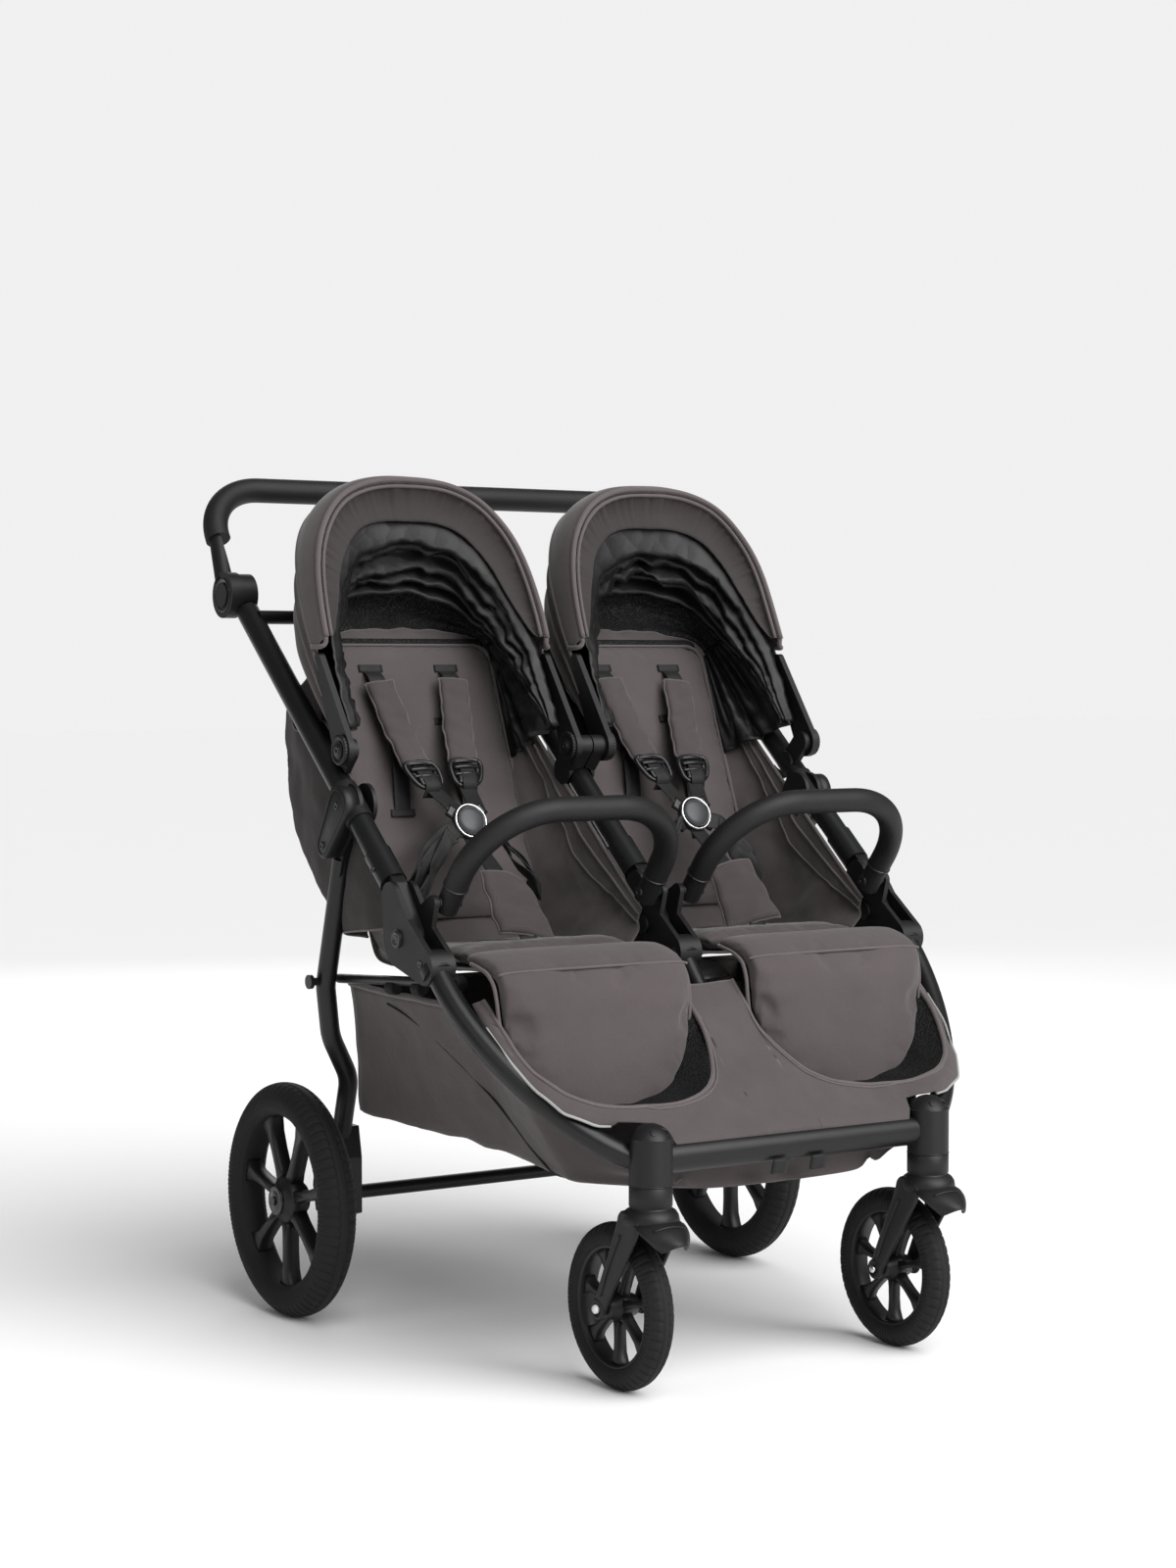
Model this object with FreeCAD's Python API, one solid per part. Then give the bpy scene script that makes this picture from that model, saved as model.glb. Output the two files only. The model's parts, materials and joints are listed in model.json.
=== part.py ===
import FreeCAD, Part
import math
import os

# Side-by-side twin jogging stroller, in millimetres.  The front faces -Y, +Z is up, and the
# origin is on the floor under the middle of the whole stroller.  "left" is +X, the left hand
# of the person who pushes it.  Most shapes are drawn in side view, as (y, z) points.

Vec = FreeCAD.Vector
SIDES = (("left", 1), ("right", -1))

# ---- driving dimensions -------------------------------------------------------------------
# frame
RIB_X = 350.0            # side tubes, from the middle plane
RIB_R = 15.0             # side and centre tubes
RIB_SLOPE = 0.85         # rise over run of the side tubes
RIB_AT = (6.0, 640.0)    # a point on their axis
HUB = (341.0, 925.0)     # handle hub
FOLD = (-110.0, 511.0)   # main fold pin
LEG_PIVOT = (70.0, 612.0)
STRUT_REAR = (126.0, 440.0)
STRUT_FRONT = (-168.0, 461.0)
TUBE_WALL = 2.0
PIN_GAP = 0.05           # radial running clearance of every pin
# casters and wheels
CASTER_X = 202.0
CASTER_Y = -401.0
FRONT_AXLE = (-338.0, 97.0)
FRONT_R = 97.0
FRONT_RIM_R = 76.0
FRONT_HALF_WIDTH = 18.0
REAR_X = 347.0
REAR_AXLE = (208.0, 150.0)
REAR_R = 150.0
REAR_RIM_R = 122.0
REAR_HALF_WIDTH = 25.0
SPOKES = 7
# seats
SEAT_X = 177.0           # middle of each seat
BIGHT = (60.0, 480.0)    # where seat and backrest meet
BACK_TILT = 68.0         # backrest angle from the floor, in degrees
BACK_LENGTH = 415.0
BACK_INNER = 42.0        # the backrest's edge beside the centre tube
BACK_OUTER = 302.0       # and its edge beside the side tube
CUSHION_INNER = 50.0     # the same edges of the seat cushion, between the bumper's ends
CUSHION_OUTER = 299.0
WALL_GAP = 2.0           # between the backrest and each fabric side wall
WALL_THICK = 6.0
# bumper bars
BUMPER_PIVOT = (-145.0, 555.0)
BUMPER_X = 174.5         # middle of each bar
BUMPER_HALF = 141.5
BUMPER_LENGTH = 142.0
BUMPER_TILT = 129.0
BUMPER_R = 15.0
BUMPER_BEND = 100.0
BUMPER_SOCKET = 24.0     # length of the moulded socket above its pivot
BUMPER_SOCKET_R = 14.0
# canopies
CANOPY_PIVOT = (43.0, 730.0)
CANOPY_X = 189.0
CANOPY_HALF = 168.0
CANOPY_SKIN = 9.0
CANOPY_PIN_R = 6.0
# handle
HANDLE_X = 355.0
HANDLE_BAR = (440.0, 1069.0)
HANDLE_BEND = 80.91
GRIP_R = 16.5


# ---- helpers ------------------------------------------------------------------------------


def at(x, side_point):
    """A 3-D point from x and a side-view (y, z) point."""
    return Vec(x, side_point[0], side_point[1])


def polar(centre, radius, degrees):
    """The side-view point at a radius and an angle above the rearward horizontal."""
    angle = math.radians(degrees)
    return (centre[0] + radius * math.cos(angle), centre[1] + radius * math.sin(angle))


def on_rib(distance, offset=0.0):
    """Side-view point along the side tube, measured from the fold pin, and above its axis."""
    length = math.hypot(1.0, RIB_SLOPE)
    along = (1.0 / length, RIB_SLOPE / length)
    start = ((FOLD[0] - RIB_AT[0]) * along[0] + (FOLD[1] - RIB_AT[1]) * along[1])
    step = start + distance
    y = RIB_AT[0] + along[0] * step - along[1] * offset
    z = RIB_AT[1] + along[1] * step + along[0] * offset
    return (y, z)


def on_back(distance, behind=0.0):
    """Side-view point up the backrest's front face, and behind it."""
    angle = math.radians(BACK_TILT)
    y = BIGHT[0] + distance * math.cos(angle) + behind * math.sin(angle)
    z = BIGHT[1] + distance * math.sin(angle) - behind * math.cos(angle)
    return (y, z)


def rod(start, end, radius):
    """A solid round bar between two points."""
    return Part.makeCylinder(radius, (end - start).Length, start, end - start)


def disc(x0, x1, centre, radius):
    """A disc square to X, from x0 to x1, at a side-view centre."""
    low = min(x0, x1)
    return Part.makeCylinder(radius, abs(x1 - x0), at(low, centre), Vec(1, 0, 0))


def side_plate(x0, x1, outline):
    """A plate from a side-view outline, between x0 and x1."""
    low = min(x0, x1)
    points = [at(low, point) for point in outline]
    wire = Part.makePolygon(points + points[:1])
    return Part.Face(wire).extrude(Vec(abs(x1 - x0), 0, 0))


def link_plate(x0, x1, first, first_r, second, second_r):
    """A plate with two round ends joined by their outer tangents."""
    angle = math.atan2(second[1] - first[1], second[0] - first[0])
    length = math.hypot(second[0] - first[0], second[1] - first[1])
    lean = math.acos((first_r - second_r) / length)
    corners = []
    for centre, radius, turn in ((first, first_r, lean), (second, second_r, lean),
                                 (second, second_r, -lean), (first, first_r, -lean)):
        corners.append(polar(centre, radius, math.degrees(angle + turn)))
    body = side_plate(x0, x1, corners)
    return join(body, disc(x0, x1, first, first_r), disc(x0, x1, second, second_r))


def join(first, *others):
    """One solid from several that overlap."""
    return first.multiFuse(list(others)).removeSplitter()


def cut(shape, *tools):
    """The shape with every tool cut out of it."""
    for tool in tools:
        shape = shape.cut(tool)
    return shape


def mirrored(shape, sign):
    """The same shape on the other side of the middle plane, where sign is -1."""
    if sign > 0:
        return shape
    return shape.mirror(Vec(0, 0, 0), Vec(1, 0, 0))


def rounded_path(points, radii):
    """A wire of straight runs joined by tangent arcs, one radius for each inner point."""
    edges = []
    here = points[0]
    for before, corner, after, radius in zip(points, points[1:], points[2:], radii):
        into = (corner - before).normalize()
        out = (after - corner).normalize()
        half_turn = into.getAngle(out) / 2
        reach = radius * math.tan(half_turn)
        start = corner - into * reach
        end = corner + out * reach
        inward = (out - into).normalize()
        middle = corner + inward * (radius / math.cos(half_turn) - radius)
        edges.append(Part.LineSegment(here, start).toShape())
        edges.append(Part.Arc(start, middle, end).toShape())
        here = end
    edges.append(Part.LineSegment(here, points[-1]).toShape())
    return Part.Wire(edges)


def sweep(path, radius):
    """A round bar along a path."""
    first = path.Edges[0]
    start = first.valueAt(first.FirstParameter)
    heading = first.tangentAt(first.FirstParameter)
    ring = Part.Wire(Part.Circle(start, heading, radius).toShape())
    return path.makePipeShell([ring], True, True)


def tube(path, radius):
    """A round tube along a path."""
    return sweep(path, radius).cut(sweep(path, radius - TUBE_WALL))


def straight_tube(start, end, radius):
    """A straight round tube between two points."""
    return rod(start, end, radius).cut(rod(start, end, radius - TUBE_WALL))


# ---- wheels -------------------------------------------------------------------------------


def tyre(x, axle, outer, inner, half_width):
    """A tyre with a round crown and flat bead, turned about its axle."""
    shoulder = outer - 0.55 * half_width
    bead = half_width * 0.62
    profile = [Part.LineSegment(Vec(-bead, inner, 0), Vec(bead, inner, 0)).toShape(),
               Part.Arc(Vec(bead, inner, 0), Vec(half_width, (inner + shoulder) / 2, 0),
                        Vec(half_width * 0.9, shoulder, 0)).toShape(),
               Part.Arc(Vec(half_width * 0.9, shoulder, 0), Vec(0, outer, 0),
                        Vec(-half_width * 0.9, shoulder, 0)).toShape(),
               Part.Arc(Vec(-half_width * 0.9, shoulder, 0),
                        Vec(-half_width, (inner + shoulder) / 2, 0),
                        Vec(-bead, inner, 0)).toShape()]
    ring = Part.Face(Part.Wire(profile)).revolve(Vec(0, 0, 0), Vec(1, 0, 0), 360)
    ring.translate(at(x, axle))
    return ring


def rim(x, axle, outer, half_width, hub_r, hub_half, bore):
    """A moulded rim: a ring, a hub and flared spokes with a raised rib on both faces."""
    ring_half = half_width * 0.62
    ring = disc(-ring_half, ring_half, (0, 0), outer)
    ring = ring.cut(disc(-half_width, half_width, (0, 0), outer - 9))
    hub = disc(-hub_half, hub_half, (0, 0), hub_r)
    wheel = join(ring, hub)
    for number in range(SPOKES):
        root = hub_r * 0.36
        tip = outer * 0.19
        blade = side_plate(-ring_half * 0.55, ring_half * 0.55,
                           [(hub_r - 3, -root), (outer - 7, -tip), (outer - 4, 0),
                            (outer - 7, tip), (hub_r - 3, root)])
        crest = side_plate(-ring_half * 0.9, ring_half * 0.9,
                           [(hub_r - 3, -2.5), (outer - 7, -2.5), (outer - 7, 2.5),
                            (hub_r - 3, 2.5)])
        spoke = blade.fuse(crest)
        spoke.rotate(Vec(0, 0, 0), Vec(1, 0, 0), 360.0 * number / SPOKES + 12)
        wheel = wheel.fuse(spoke)
    wheel = wheel.removeSplitter().cut(disc(-hub_half - 1, hub_half + 1, (0, 0), bore))
    wheel.translate(at(x, axle))
    return wheel


# ---- lower front frame (fixed) ------------------------------------------------------------
SOCKET_R = 25.0
SOCKET_LOW = 247.0
SOCKET_HIGH = 300.0
STEM_R = 10.0
CAP_HEIGHT = 17.0
CROSS_Z = 275.0
CROSS_TALL = 17.0        # half height of the oval cross tube
CROSS_DEEP = 12.5        # half depth
FRONT_TUBE_R = 14.0
CENTRE_FRONT_R = 11.0
TUBE_TOP = (-171.0, 482.0)
CHEEK_IN = 9.5
CHEEK_OUT = 16.0
LUG_HALF = 9.0
PIN_R = 5.0
PIN_HEAD = 2.5           # thickness of a pin's head
BOSS_R = 34.0            # of the bracket round the fold pin
FOOT_R = 21.0            # of the bracket round the front tube's end
BUMPER_STUB = 24.5
BUMPER_STUB_R = 6.0
STRUT_PIN_R = 4.0
STRUT_PIN_LENGTH = 22.5


def bezier(*poles):
    """A smooth wire drawn by its control points."""
    curve = Part.BezierCurve()
    curve.setPoles(list(poles))
    return Part.Wire(curve.toShape())


def side_front_path():
    """Axis of a front side tube, curving down and in to its caster socket."""
    return bezier(at(RIB_X, TUBE_TOP), Vec(RIB_X + 5, -243, 406), Vec(291, -351, 307),
                  Vec(215, -385, CROSS_Z + 1))


def centre_front_path():
    """Axis of the front centre tube, curving down to the cross tube."""
    return bezier(at(0, TUBE_TOP), Vec(0, -240, 402), Vec(0, -320, 320), Vec(0, -392, CROSS_Z + 4))


def cross_bar(tall, deep):
    """A solid oval bar between the caster sockets."""
    oval = Part.Wire(Part.Ellipse(Vec(0, 0, 0), tall, deep).toShape())
    bar = Part.Face(oval).extrude(Vec(0, 0, 2 * CASTER_X))
    bar.rotate(Vec(0, 0, 0), Vec(0, 1, 0), 90)
    bar.translate(Vec(-CASTER_X, CASTER_Y, CROSS_Z))
    return bar


def cross_tube():
    """Flattened tube between the caster sockets, taller than it is deep."""
    hollow = cross_bar(CROSS_TALL - TUBE_WALL, CROSS_DEEP - TUBE_WALL)
    return cross_bar(CROSS_TALL, CROSS_DEEP).cut(hollow)


def caster_socket():
    """Upright round socket for the caster's stem."""
    body = Part.makeCylinder(SOCKET_R, SOCKET_HIGH - SOCKET_LOW, Vec(CASTER_X, CASTER_Y, SOCKET_LOW))
    bore = Part.makeCylinder(STEM_R + PIN_GAP, 42, Vec(CASTER_X, CASTER_Y, SOCKET_LOW - 1))
    return body.cut(bore)


def socket_cap():
    """Domed cap on top of the socket."""
    dome_r = (SOCKET_R ** 2 + CAP_HEIGHT ** 2) / (2 * CAP_HEIGHT)
    ball = Part.makeSphere(dome_r, Vec(CASTER_X, CASTER_Y, SOCKET_HIGH + CAP_HEIGHT - dome_r))
    slab = Part.makeCylinder(SOCKET_R, 20, Vec(CASTER_X, CASTER_Y, SOCKET_HIGH))
    return ball.common(slab)


def fold_bracket(x, with_strut, bumper_sides):
    """Clevis that holds the front tube and carries the fold pin between two cheeks."""
    seam = on_rib(46)
    pieces = []
    for inner, outer in ((CHEEK_IN, CHEEK_OUT), (-CHEEK_OUT, -CHEEK_IN)):
        lower = link_plate(x + inner, x + outer, FOLD, BOSS_R, TUBE_TOP, FOOT_R)
        upper = link_plate(x + inner, x + outer, FOLD, BOSS_R, seam, 19)
        pieces.append(lower.fuse(upper))
    for sign in bumper_sides:
        near = x + sign * CHEEK_IN
        far = x + sign * CHEEK_OUT
        pieces.append(link_plate(near, far, FOLD, 30, BUMPER_PIVOT, 9))
        pieces.append(disc(far, far + sign * BUMPER_STUB, BUMPER_PIVOT, BUMPER_STUB_R))
    sleeve_end = (TUBE_TOP[0] - 9, TUBE_TOP[1] - 9)
    pieces.append(disc(x - CHEEK_OUT, x + CHEEK_OUT, TUBE_TOP, FOOT_R))
    pieces.append(rod(at(x, TUBE_TOP), at(x, sleeve_end), 19))
    if with_strut:
        pieces.append(link_plate(x - CHEEK_OUT, x - CHEEK_IN, TUBE_TOP, 20, STRUT_FRONT, 10))
    body = join(*pieces)
    body = body.cut(disc(x - CHEEK_IN, x + CHEEK_IN, FOLD, BOSS_R + 4))
    return body.cut(disc(x - 40, x + 40, FOLD, PIN_R))


def fold_pin(x):
    """Pin with a ringed head on each end."""
    shaft = disc(x - CHEEK_OUT, x + CHEEK_OUT, FOLD, PIN_R)
    heads = [disc(x + CHEEK_OUT, x + CHEEK_OUT + PIN_HEAD, FOLD, 11),
             disc(x - CHEEK_OUT - PIN_HEAD, x - CHEEK_OUT, FOLD, 11)]
    return join(shaft, *heads)


def strut_pin():
    """Pin on the inner cheek of the side bracket, with a head that keeps the strut on."""
    cheek = RIB_X - CHEEK_OUT
    tip = cheek - STRUT_PIN_LENGTH
    return join(disc(tip, cheek, STRUT_FRONT, STRUT_PIN_R), disc(tip - PIN_HEAD, tip, STRUT_FRONT, 7))


APRON_LOW = (-398.0, 299.0)
APRON_HIGH = (-207.0, 459.0)
APRON_THICK = 4.0
OPENING_HALF = 138.0
BASKET_WALL = 6.0
CALF_HALF = 131.0


def apron():
    """Front fabric sheet from the cross tube up to the seats, with a round opening per child."""
    run = APRON_HIGH[0] - APRON_LOW[0]
    climb = APRON_HIGH[1] - APRON_LOW[1]
    rise = math.hypot(run, climb)
    edge = [Vec(172, 0, 0), Vec(174, 32, 0), Vec(255, 36, 0), Vec(290, 62, 0), Vec(308, 100, 0),
            Vec(321, 150, 0), Vec(328, rise, 0)]
    outline = edge + [Vec(-point.x, point.y, 0) for point in reversed(edge)]
    sheet = Part.Face(Part.makePolygon(outline + outline[:1])).extrude(Vec(0, 0, APRON_THICK))
    for sign in (1, -1):
        curve = []
        for step in range(13):
            angle = math.pi * step / 12
            across = abs(math.cos(angle)) ** 0.667 * math.copysign(1, math.cos(angle))
            down = math.sin(angle) ** 0.667
            middle = sign * (SEAT_X - 1)
            curve.append(Vec(middle + OPENING_HALF * across, rise - 20 - (rise - 66) * down, 0))
        spline = Part.BSplineCurve()
        spline.interpolate(curve)
        lid = [curve[-1], Vec(curve[-1].x, rise + 5, 0), Vec(curve[0].x, rise + 5, 0), curve[0]]
        edges = [spline.toShape()]
        for first, second in zip(lid, lid[1:]):
            edges.append(Part.LineSegment(first, second).toShape())
        hole = Part.Face(Part.Wire(edges)).extrude(Vec(0, 0, 20))
        hole.translate(Vec(0, 0, -8))
        sheet = sheet.cut(hole)
    sheet.rotate(Vec(0, 0, 0), Vec(1, 0, 0), math.degrees(math.atan2(climb, run)))
    sheet.translate(at(0, APRON_LOW))
    return sheet


def basket():
    """Open-topped sling basket under the seats."""
    stations = [(124.0, 306.0, 290.0, 262.0, 433.0), (-60.0, 309.0, 250.0, 250.0, 430.0),
                (-165.0, 309.0, 232.0, 240.0, 427.0), (-262.0, 304.0, 224.0, 222.0, 362.0),
                (-372.0, 178.0, 132.0, 226.0, 252.0)]

    def ring(station, inset, lift):
        y, top_half, low_half, low, high = station
        top = high + lift
        points = [Vec(-top_half + inset, y, top), Vec(-low_half + inset, y, low + inset),
                  Vec(low_half - inset, y, low + inset), Vec(top_half - inset, y, top)]
        return Part.makePolygon(points + points[:1])

    outer = Part.makeLoft([ring(station, 0, 0) for station in stations], True, True)
    rear = stations[0]
    front = stations[-1]
    hollow = [(rear[0] - BASKET_WALL,) + rear[1:]] + stations[1:-1]
    hollow.append((front[0] + BASKET_WALL,) + front[1:])
    inner = Part.makeLoft([ring(station, BASKET_WALL, 12) for station in hollow], True, True)
    return outer.cut(inner)


# ---- calf rests and bumper bars -----------------------------------------------------------


def calf_pad():
    """Padded rest in front of each seat, rounded at its lower end."""
    side = side_plate(0, 2 * SEAT_X, [(-170, 500), (-245, 482), (-266, 387), (-286, 306), (-276, 296),
                                      (-258, 302), (-212, 400), (-182, 470)])
    front = [Vec(SEAT_X - CALF_HALF, -320, 510), Vec(SEAT_X - CALF_HALF, -320, 450),
             Vec(SEAT_X - 86, -320, 340), Vec(SEAT_X - 52, -320, 296),
             Vec(SEAT_X + 52, -320, 296), Vec(SEAT_X + 86, -320, 340),
             Vec(SEAT_X + CALF_HALF, -320, 450), Vec(SEAT_X + CALF_HALF, -320, 510)]
    outline = Part.Face(Part.makePolygon(front + front[:1])).extrude(Vec(0, 200, 0))
    return side.common(outline)


def bumper_path():
    """Axis of the bumper bar: out from one bracket, across, and back to the other."""
    start = polar(BUMPER_PIVOT, BUMPER_SOCKET, BUMPER_TILT)
    end = polar(BUMPER_PIVOT, BUMPER_LENGTH, BUMPER_TILT)
    inner = BUMPER_X - BUMPER_HALF
    outer = BUMPER_X + BUMPER_HALF
    points = [at(inner, start), at(inner, end), at(outer, end), at(outer, start)]
    return rounded_path(points, [BUMPER_BEND, BUMPER_BEND])


def bumper():
    """Foam-covered bar with a moulded socket at each end, each turning on a bracket stub."""
    bar = sweep(bumper_path(), BUMPER_R)
    pieces = [bar]
    for side in (-1, 1):
        x = BUMPER_X + side * BUMPER_HALF
        top = polar(BUMPER_PIVOT, BUMPER_SOCKET, BUMPER_TILT)
        heel = polar(BUMPER_PIVOT, -11, BUMPER_TILT)
        socket = rod(at(x, heel), at(x, top), BUMPER_SOCKET_R)
        socket = socket.cut(disc(x - 20, x + 20, BUMPER_PIVOT, BUMPER_STUB_R + PIN_GAP))
        pieces.append(socket)
    return pieces


# ---- upper frame --------------------------------------------------------------------------
COLLAR_FROM = 70.0
COLLAR_TO = 120.0
COLLAR_THICK = 2.0
CENTRE_LENGTH = 530.0    # of the centre tube
TIE_R = 9.0              # tube between the side tubes, behind the seats
HUB_PLUG = 33.0          # the side tube stops this far short of the hub


def lug(x):
    """Flat tongue between the bracket's cheeks, turning on the fold pin."""
    low = x - LUG_HALF
    high = x + LUG_HALF
    neck = join(link_plate(low, high, FOLD, 22, on_rib(60), 13),
                link_plate(low, high, on_rib(60), 13, on_rib(84), 12.9))
    return neck.cut(disc(x - 20, x + 20, FOLD, PIN_R + PIN_GAP))


def upper_tube(x, end):
    """Side or centre tube with its lower collar and tongue."""
    pipe = straight_tube(at(x, on_rib(COLLAR_FROM + 12)), at(x, on_rib(end)), RIB_R)
    collar = rod(at(x, on_rib(COLLAR_FROM)), at(x, on_rib(COLLAR_TO)), RIB_R + COLLAR_THICK)
    return join(pipe, collar, lug(x))


def rib_length():
    """Distance along the side tube from the fold pin's foot to the handle hub."""
    start = on_rib(0)
    return math.hypot(HUB[0] - start[0], HUB[1] - start[1])


def centre_frame():
    """Centre tube and the cross tube that ties it to the two side tubes behind the seats."""
    tip = on_rib(CENTRE_LENGTH)
    cross = (tip[0] + 14, tip[1] + 24)
    reach = RIB_X - RIB_R - 4
    spine = upper_tube(0, CENTRE_LENGTH)
    stub = rod(at(0, on_rib(CENTRE_LENGTH - 12)), at(0, cross), 8)
    stub = stub.cut(disc(-20, 20, cross, TIE_R - TUBE_WALL))
    bar = disc(-reach, reach, cross, TIE_R).cut(disc(-RIB_X, RIB_X, cross, TIE_R - TUBE_WALL))
    pieces = [join(spine, stub, bar)]
    for sign in (1, -1):
        plug = disc(sign * reach, sign * (RIB_X - 3), cross, TIE_R)
        pieces.append(cut(plug, rod(at(sign * RIB_X, on_rib(0)), at(sign * RIB_X, HUB), RIB_R)))
    return pieces


SLEEVE_FROM = 176.0
SLEEVE_TO = 236.0
SLEEVE_THICK = 2.5
ARM_IN = 7.2
ARM_OUT = 12.5
LEG_X = 340.0
LEG_R = 12.5
HUB_R = 28.0
HUB_THICK = 20.0
HUB_FACE = 6.0           # the hub's face, outside the side tube's axis
HUB_AXLE_R = 8.0


def leg_bracket():
    """Sleeve on the side tube with two arms that carry the rear leg's pin."""
    sleeve = rod(at(RIB_X, on_rib(SLEEVE_FROM)), at(RIB_X, on_rib(SLEEVE_TO)), RIB_R + SLEEVE_THICK)
    arms = []
    for near, far in ((ARM_IN, ARM_OUT), (-ARM_OUT, -ARM_IN)):
        arms.append(link_plate(LEG_X + near, LEG_X + far, LEG_PIVOT, 15, on_rib(208), 26))
    pin = disc(LEG_X - ARM_IN, LEG_X + ARM_IN, LEG_PIVOT, PIN_R)
    body = join(sleeve, *arms, pin)
    return body.cut(rod(at(RIB_X, on_rib(0)), at(RIB_X, on_rib(400)), RIB_R))


def handle_hub():
    """Fixed half of the handle's hub, with the neck that plugs onto the side tube."""
    face = disc(RIB_X + HUB_FACE - HUB_THICK, RIB_X + HUB_FACE, HUB, HUB_R)
    neck = rod(at(RIB_X - 4, HUB), at(RIB_X - 4, on_rib(rib_length() - HUB_PLUG - 5)), 10)
    body = join(face, neck).cut(disc(RIB_X, RIB_X + 10, HUB, HUB_AXLE_R + PIN_GAP))
    return body.cut(rod(at(RIB_X, on_rib(0)), at(RIB_X, on_rib(rib_length() - HUB_PLUG)), RIB_R))


def seat_liner():
    """Seat cushion and the two fabric side walls that hang from the tubes."""
    cushion = side_plate(CUSHION_INNER, CUSHION_OUTER, [(-150, 474), (-150, 498), (-60, 494), (48, 484),
                                                        (50, 462), (-60, 464)])
    wall = [(-40, 492), (-34, 566), (60, 662), (176, 770), (186, 756), (66, 480), (40, 470)]
    outer = side_plate(BACK_OUTER + WALL_GAP, BACK_OUTER + WALL_GAP + WALL_THICK, wall)
    inner = side_plate(BACK_INNER - WALL_GAP - WALL_THICK, BACK_INNER - WALL_GAP, wall)
    return [cushion, outer, inner]


# ---- canopies -----------------------------------------------------------------------------


def arch(angle, half, low, high, inset=0.0):
    """Closed arch wire in a plane through the canopy's hinge axis."""
    rounding = 2.0 / 2.7
    points = []
    for step in range(15):
        turn = math.pi * step / 14
        across = math.copysign(abs(math.cos(turn)) ** rounding, math.cos(turn))
        up = abs(math.sin(turn)) ** rounding
        reach = low + (high - inset - low) * up
        points.append(at(CANOPY_X + (half - inset) * across, polar(CANOPY_PIVOT, reach, angle)))
    curve = Part.BSplineCurve()
    curve.interpolate(points)
    return Part.Wire([curve.toShape(), Part.LineSegment(points[-1], points[0]).toShape()])


def canopy_band(stations):
    """Thin curved shell through arches given as (angle, half width, low, high)."""
    outer = Part.makeLoft([arch(*station) for station in stations], True, False)
    inner_stations = [list(station) for station in stations]
    inner_stations[0][0] += 0.8
    inner_stations[-1][0] -= 0.8
    for station in inner_stations:
        station[2] -= 6
    inner = Part.makeLoft([arch(*station, CANOPY_SKIN) for station in inner_stations], True, False)
    return outer.cut(inner)


def canopy_visor():
    """Movable front part of the canopy."""
    return canopy_band([(68.0, 160.0, 150.0, 366.0), (62.5, 167.0, 146.0, 386.0),
                        (57.2, 169.0, 150.0, 383.0)])


def canopy_shell():
    """Folded rear part of the canopy, fixed to the frame."""
    return canopy_band([(55.8, 168.0, 130.0, 380.0), (47.0, 167.0, 120.0, 352.0),
                        (40.5, 160.0, 110.0, 305.0)])


def canopy_hinge():
    """Ribbed disc and flat arm at each side of the canopy."""
    pieces = []
    for x0, x1 in ((CANOPY_X + CANOPY_HALF - 7, CANOPY_X + CANOPY_HALF + 1),
                   (CANOPY_X - CANOPY_HALF - 1, CANOPY_X - CANOPY_HALF + 7)):
        arm = link_plate(x0, x1, CANOPY_PIVOT, 20, polar(CANOPY_PIVOT, 128, 60), 8)
        pieces.append(arm.cut(disc(x0 - 1, x1 + 1, CANOPY_PIVOT, CANOPY_PIN_R + PIN_GAP)))
    return pieces


def canopy_mount():
    """Clips on the side tube and the centre tube that carry the canopy's pins."""
    foot = on_rib(262)
    pieces = []
    outer_face = CANOPY_X + CANOPY_HALF - 7.6
    inner_face = CANOPY_X - CANOPY_HALF - 1.6
    for x, x0, x1, pin_to in ((RIB_X, outer_face - 8, outer_face, outer_face + 11.6),
                              (0, 1, inner_face, inner_face + 11.6)):
        ear = link_plate(x0, x1, foot, 14, CANOPY_PIVOT, 14)
        clip = disc(0.2 if x == 0 else x0 - 4, x1, foot, 19)
        pin = disc(x1, pin_to, CANOPY_PIVOT, CANOPY_PIN_R)
        piece = join(ear, clip, pin, disc(pin_to, pin_to + 3, CANOPY_PIVOT, 11))
        piece = piece.cut(rod(at(x, on_rib(60)), at(x, on_rib(400)), RIB_R + 2.5))
        pieces.append(piece)
    return pieces


# ---- backrest, harness and buckle ---------------------------------------------------------


def backrest():
    """Padded backrest with the fabric shell behind it."""
    outline = [on_back(34), on_back(200), on_back(BACK_LENGTH - 8), on_back(BACK_LENGTH, 12),
               on_back(BACK_LENGTH - 4, 30), on_back(352, 86), on_back(238, 104), on_back(130, 84),
               on_back(48, 34)]
    return side_plate(BACK_INNER, BACK_OUTER, outline)


def strap(x0, x1, start, end, width):
    """Flat harness strap lying just off the backrest's face, from start to end along it."""
    front = 5.0
    low = [at(x0 - width / 2, on_back(start, -front)), at(x0 + width / 2, on_back(start, -front)),
           at(x1 + width / 2, on_back(end, -front)), at(x1 - width / 2, on_back(end, -front))]
    face = Part.Face(Part.makePolygon(low + low[:1]))
    outward = at(0, on_back(0, -1)) - at(0, on_back(0, 0))
    return face.extrude(outward * 9)


def harness():
    """Two shoulder pads and two waist straps in front of the backrest."""
    pieces = []
    for side in (-1, 1):
        pieces.append(strap(SEAT_X + side * 22, SEAT_X + side * 56, 226, 352, 38))
        pieces.append(strap(SEAT_X + side * 62, SEAT_X + side * 72, 60, 214, 24))
    return pieces


BUCKLE_X = SEAT_X - 4.0
BUCKLE_AT = (56.0, 634.0)
BUCKLE_R = 24.0
BUCKLE_THICK = 14.0
BUTTON_R = 12.7
BUTTON_BORE = 13.0


def buckle_direction():
    """The direction the buckle faces, square to the backrest."""
    angle = math.radians(BACK_TILT)
    return Vec(0, -math.sin(angle), math.cos(angle))


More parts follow.
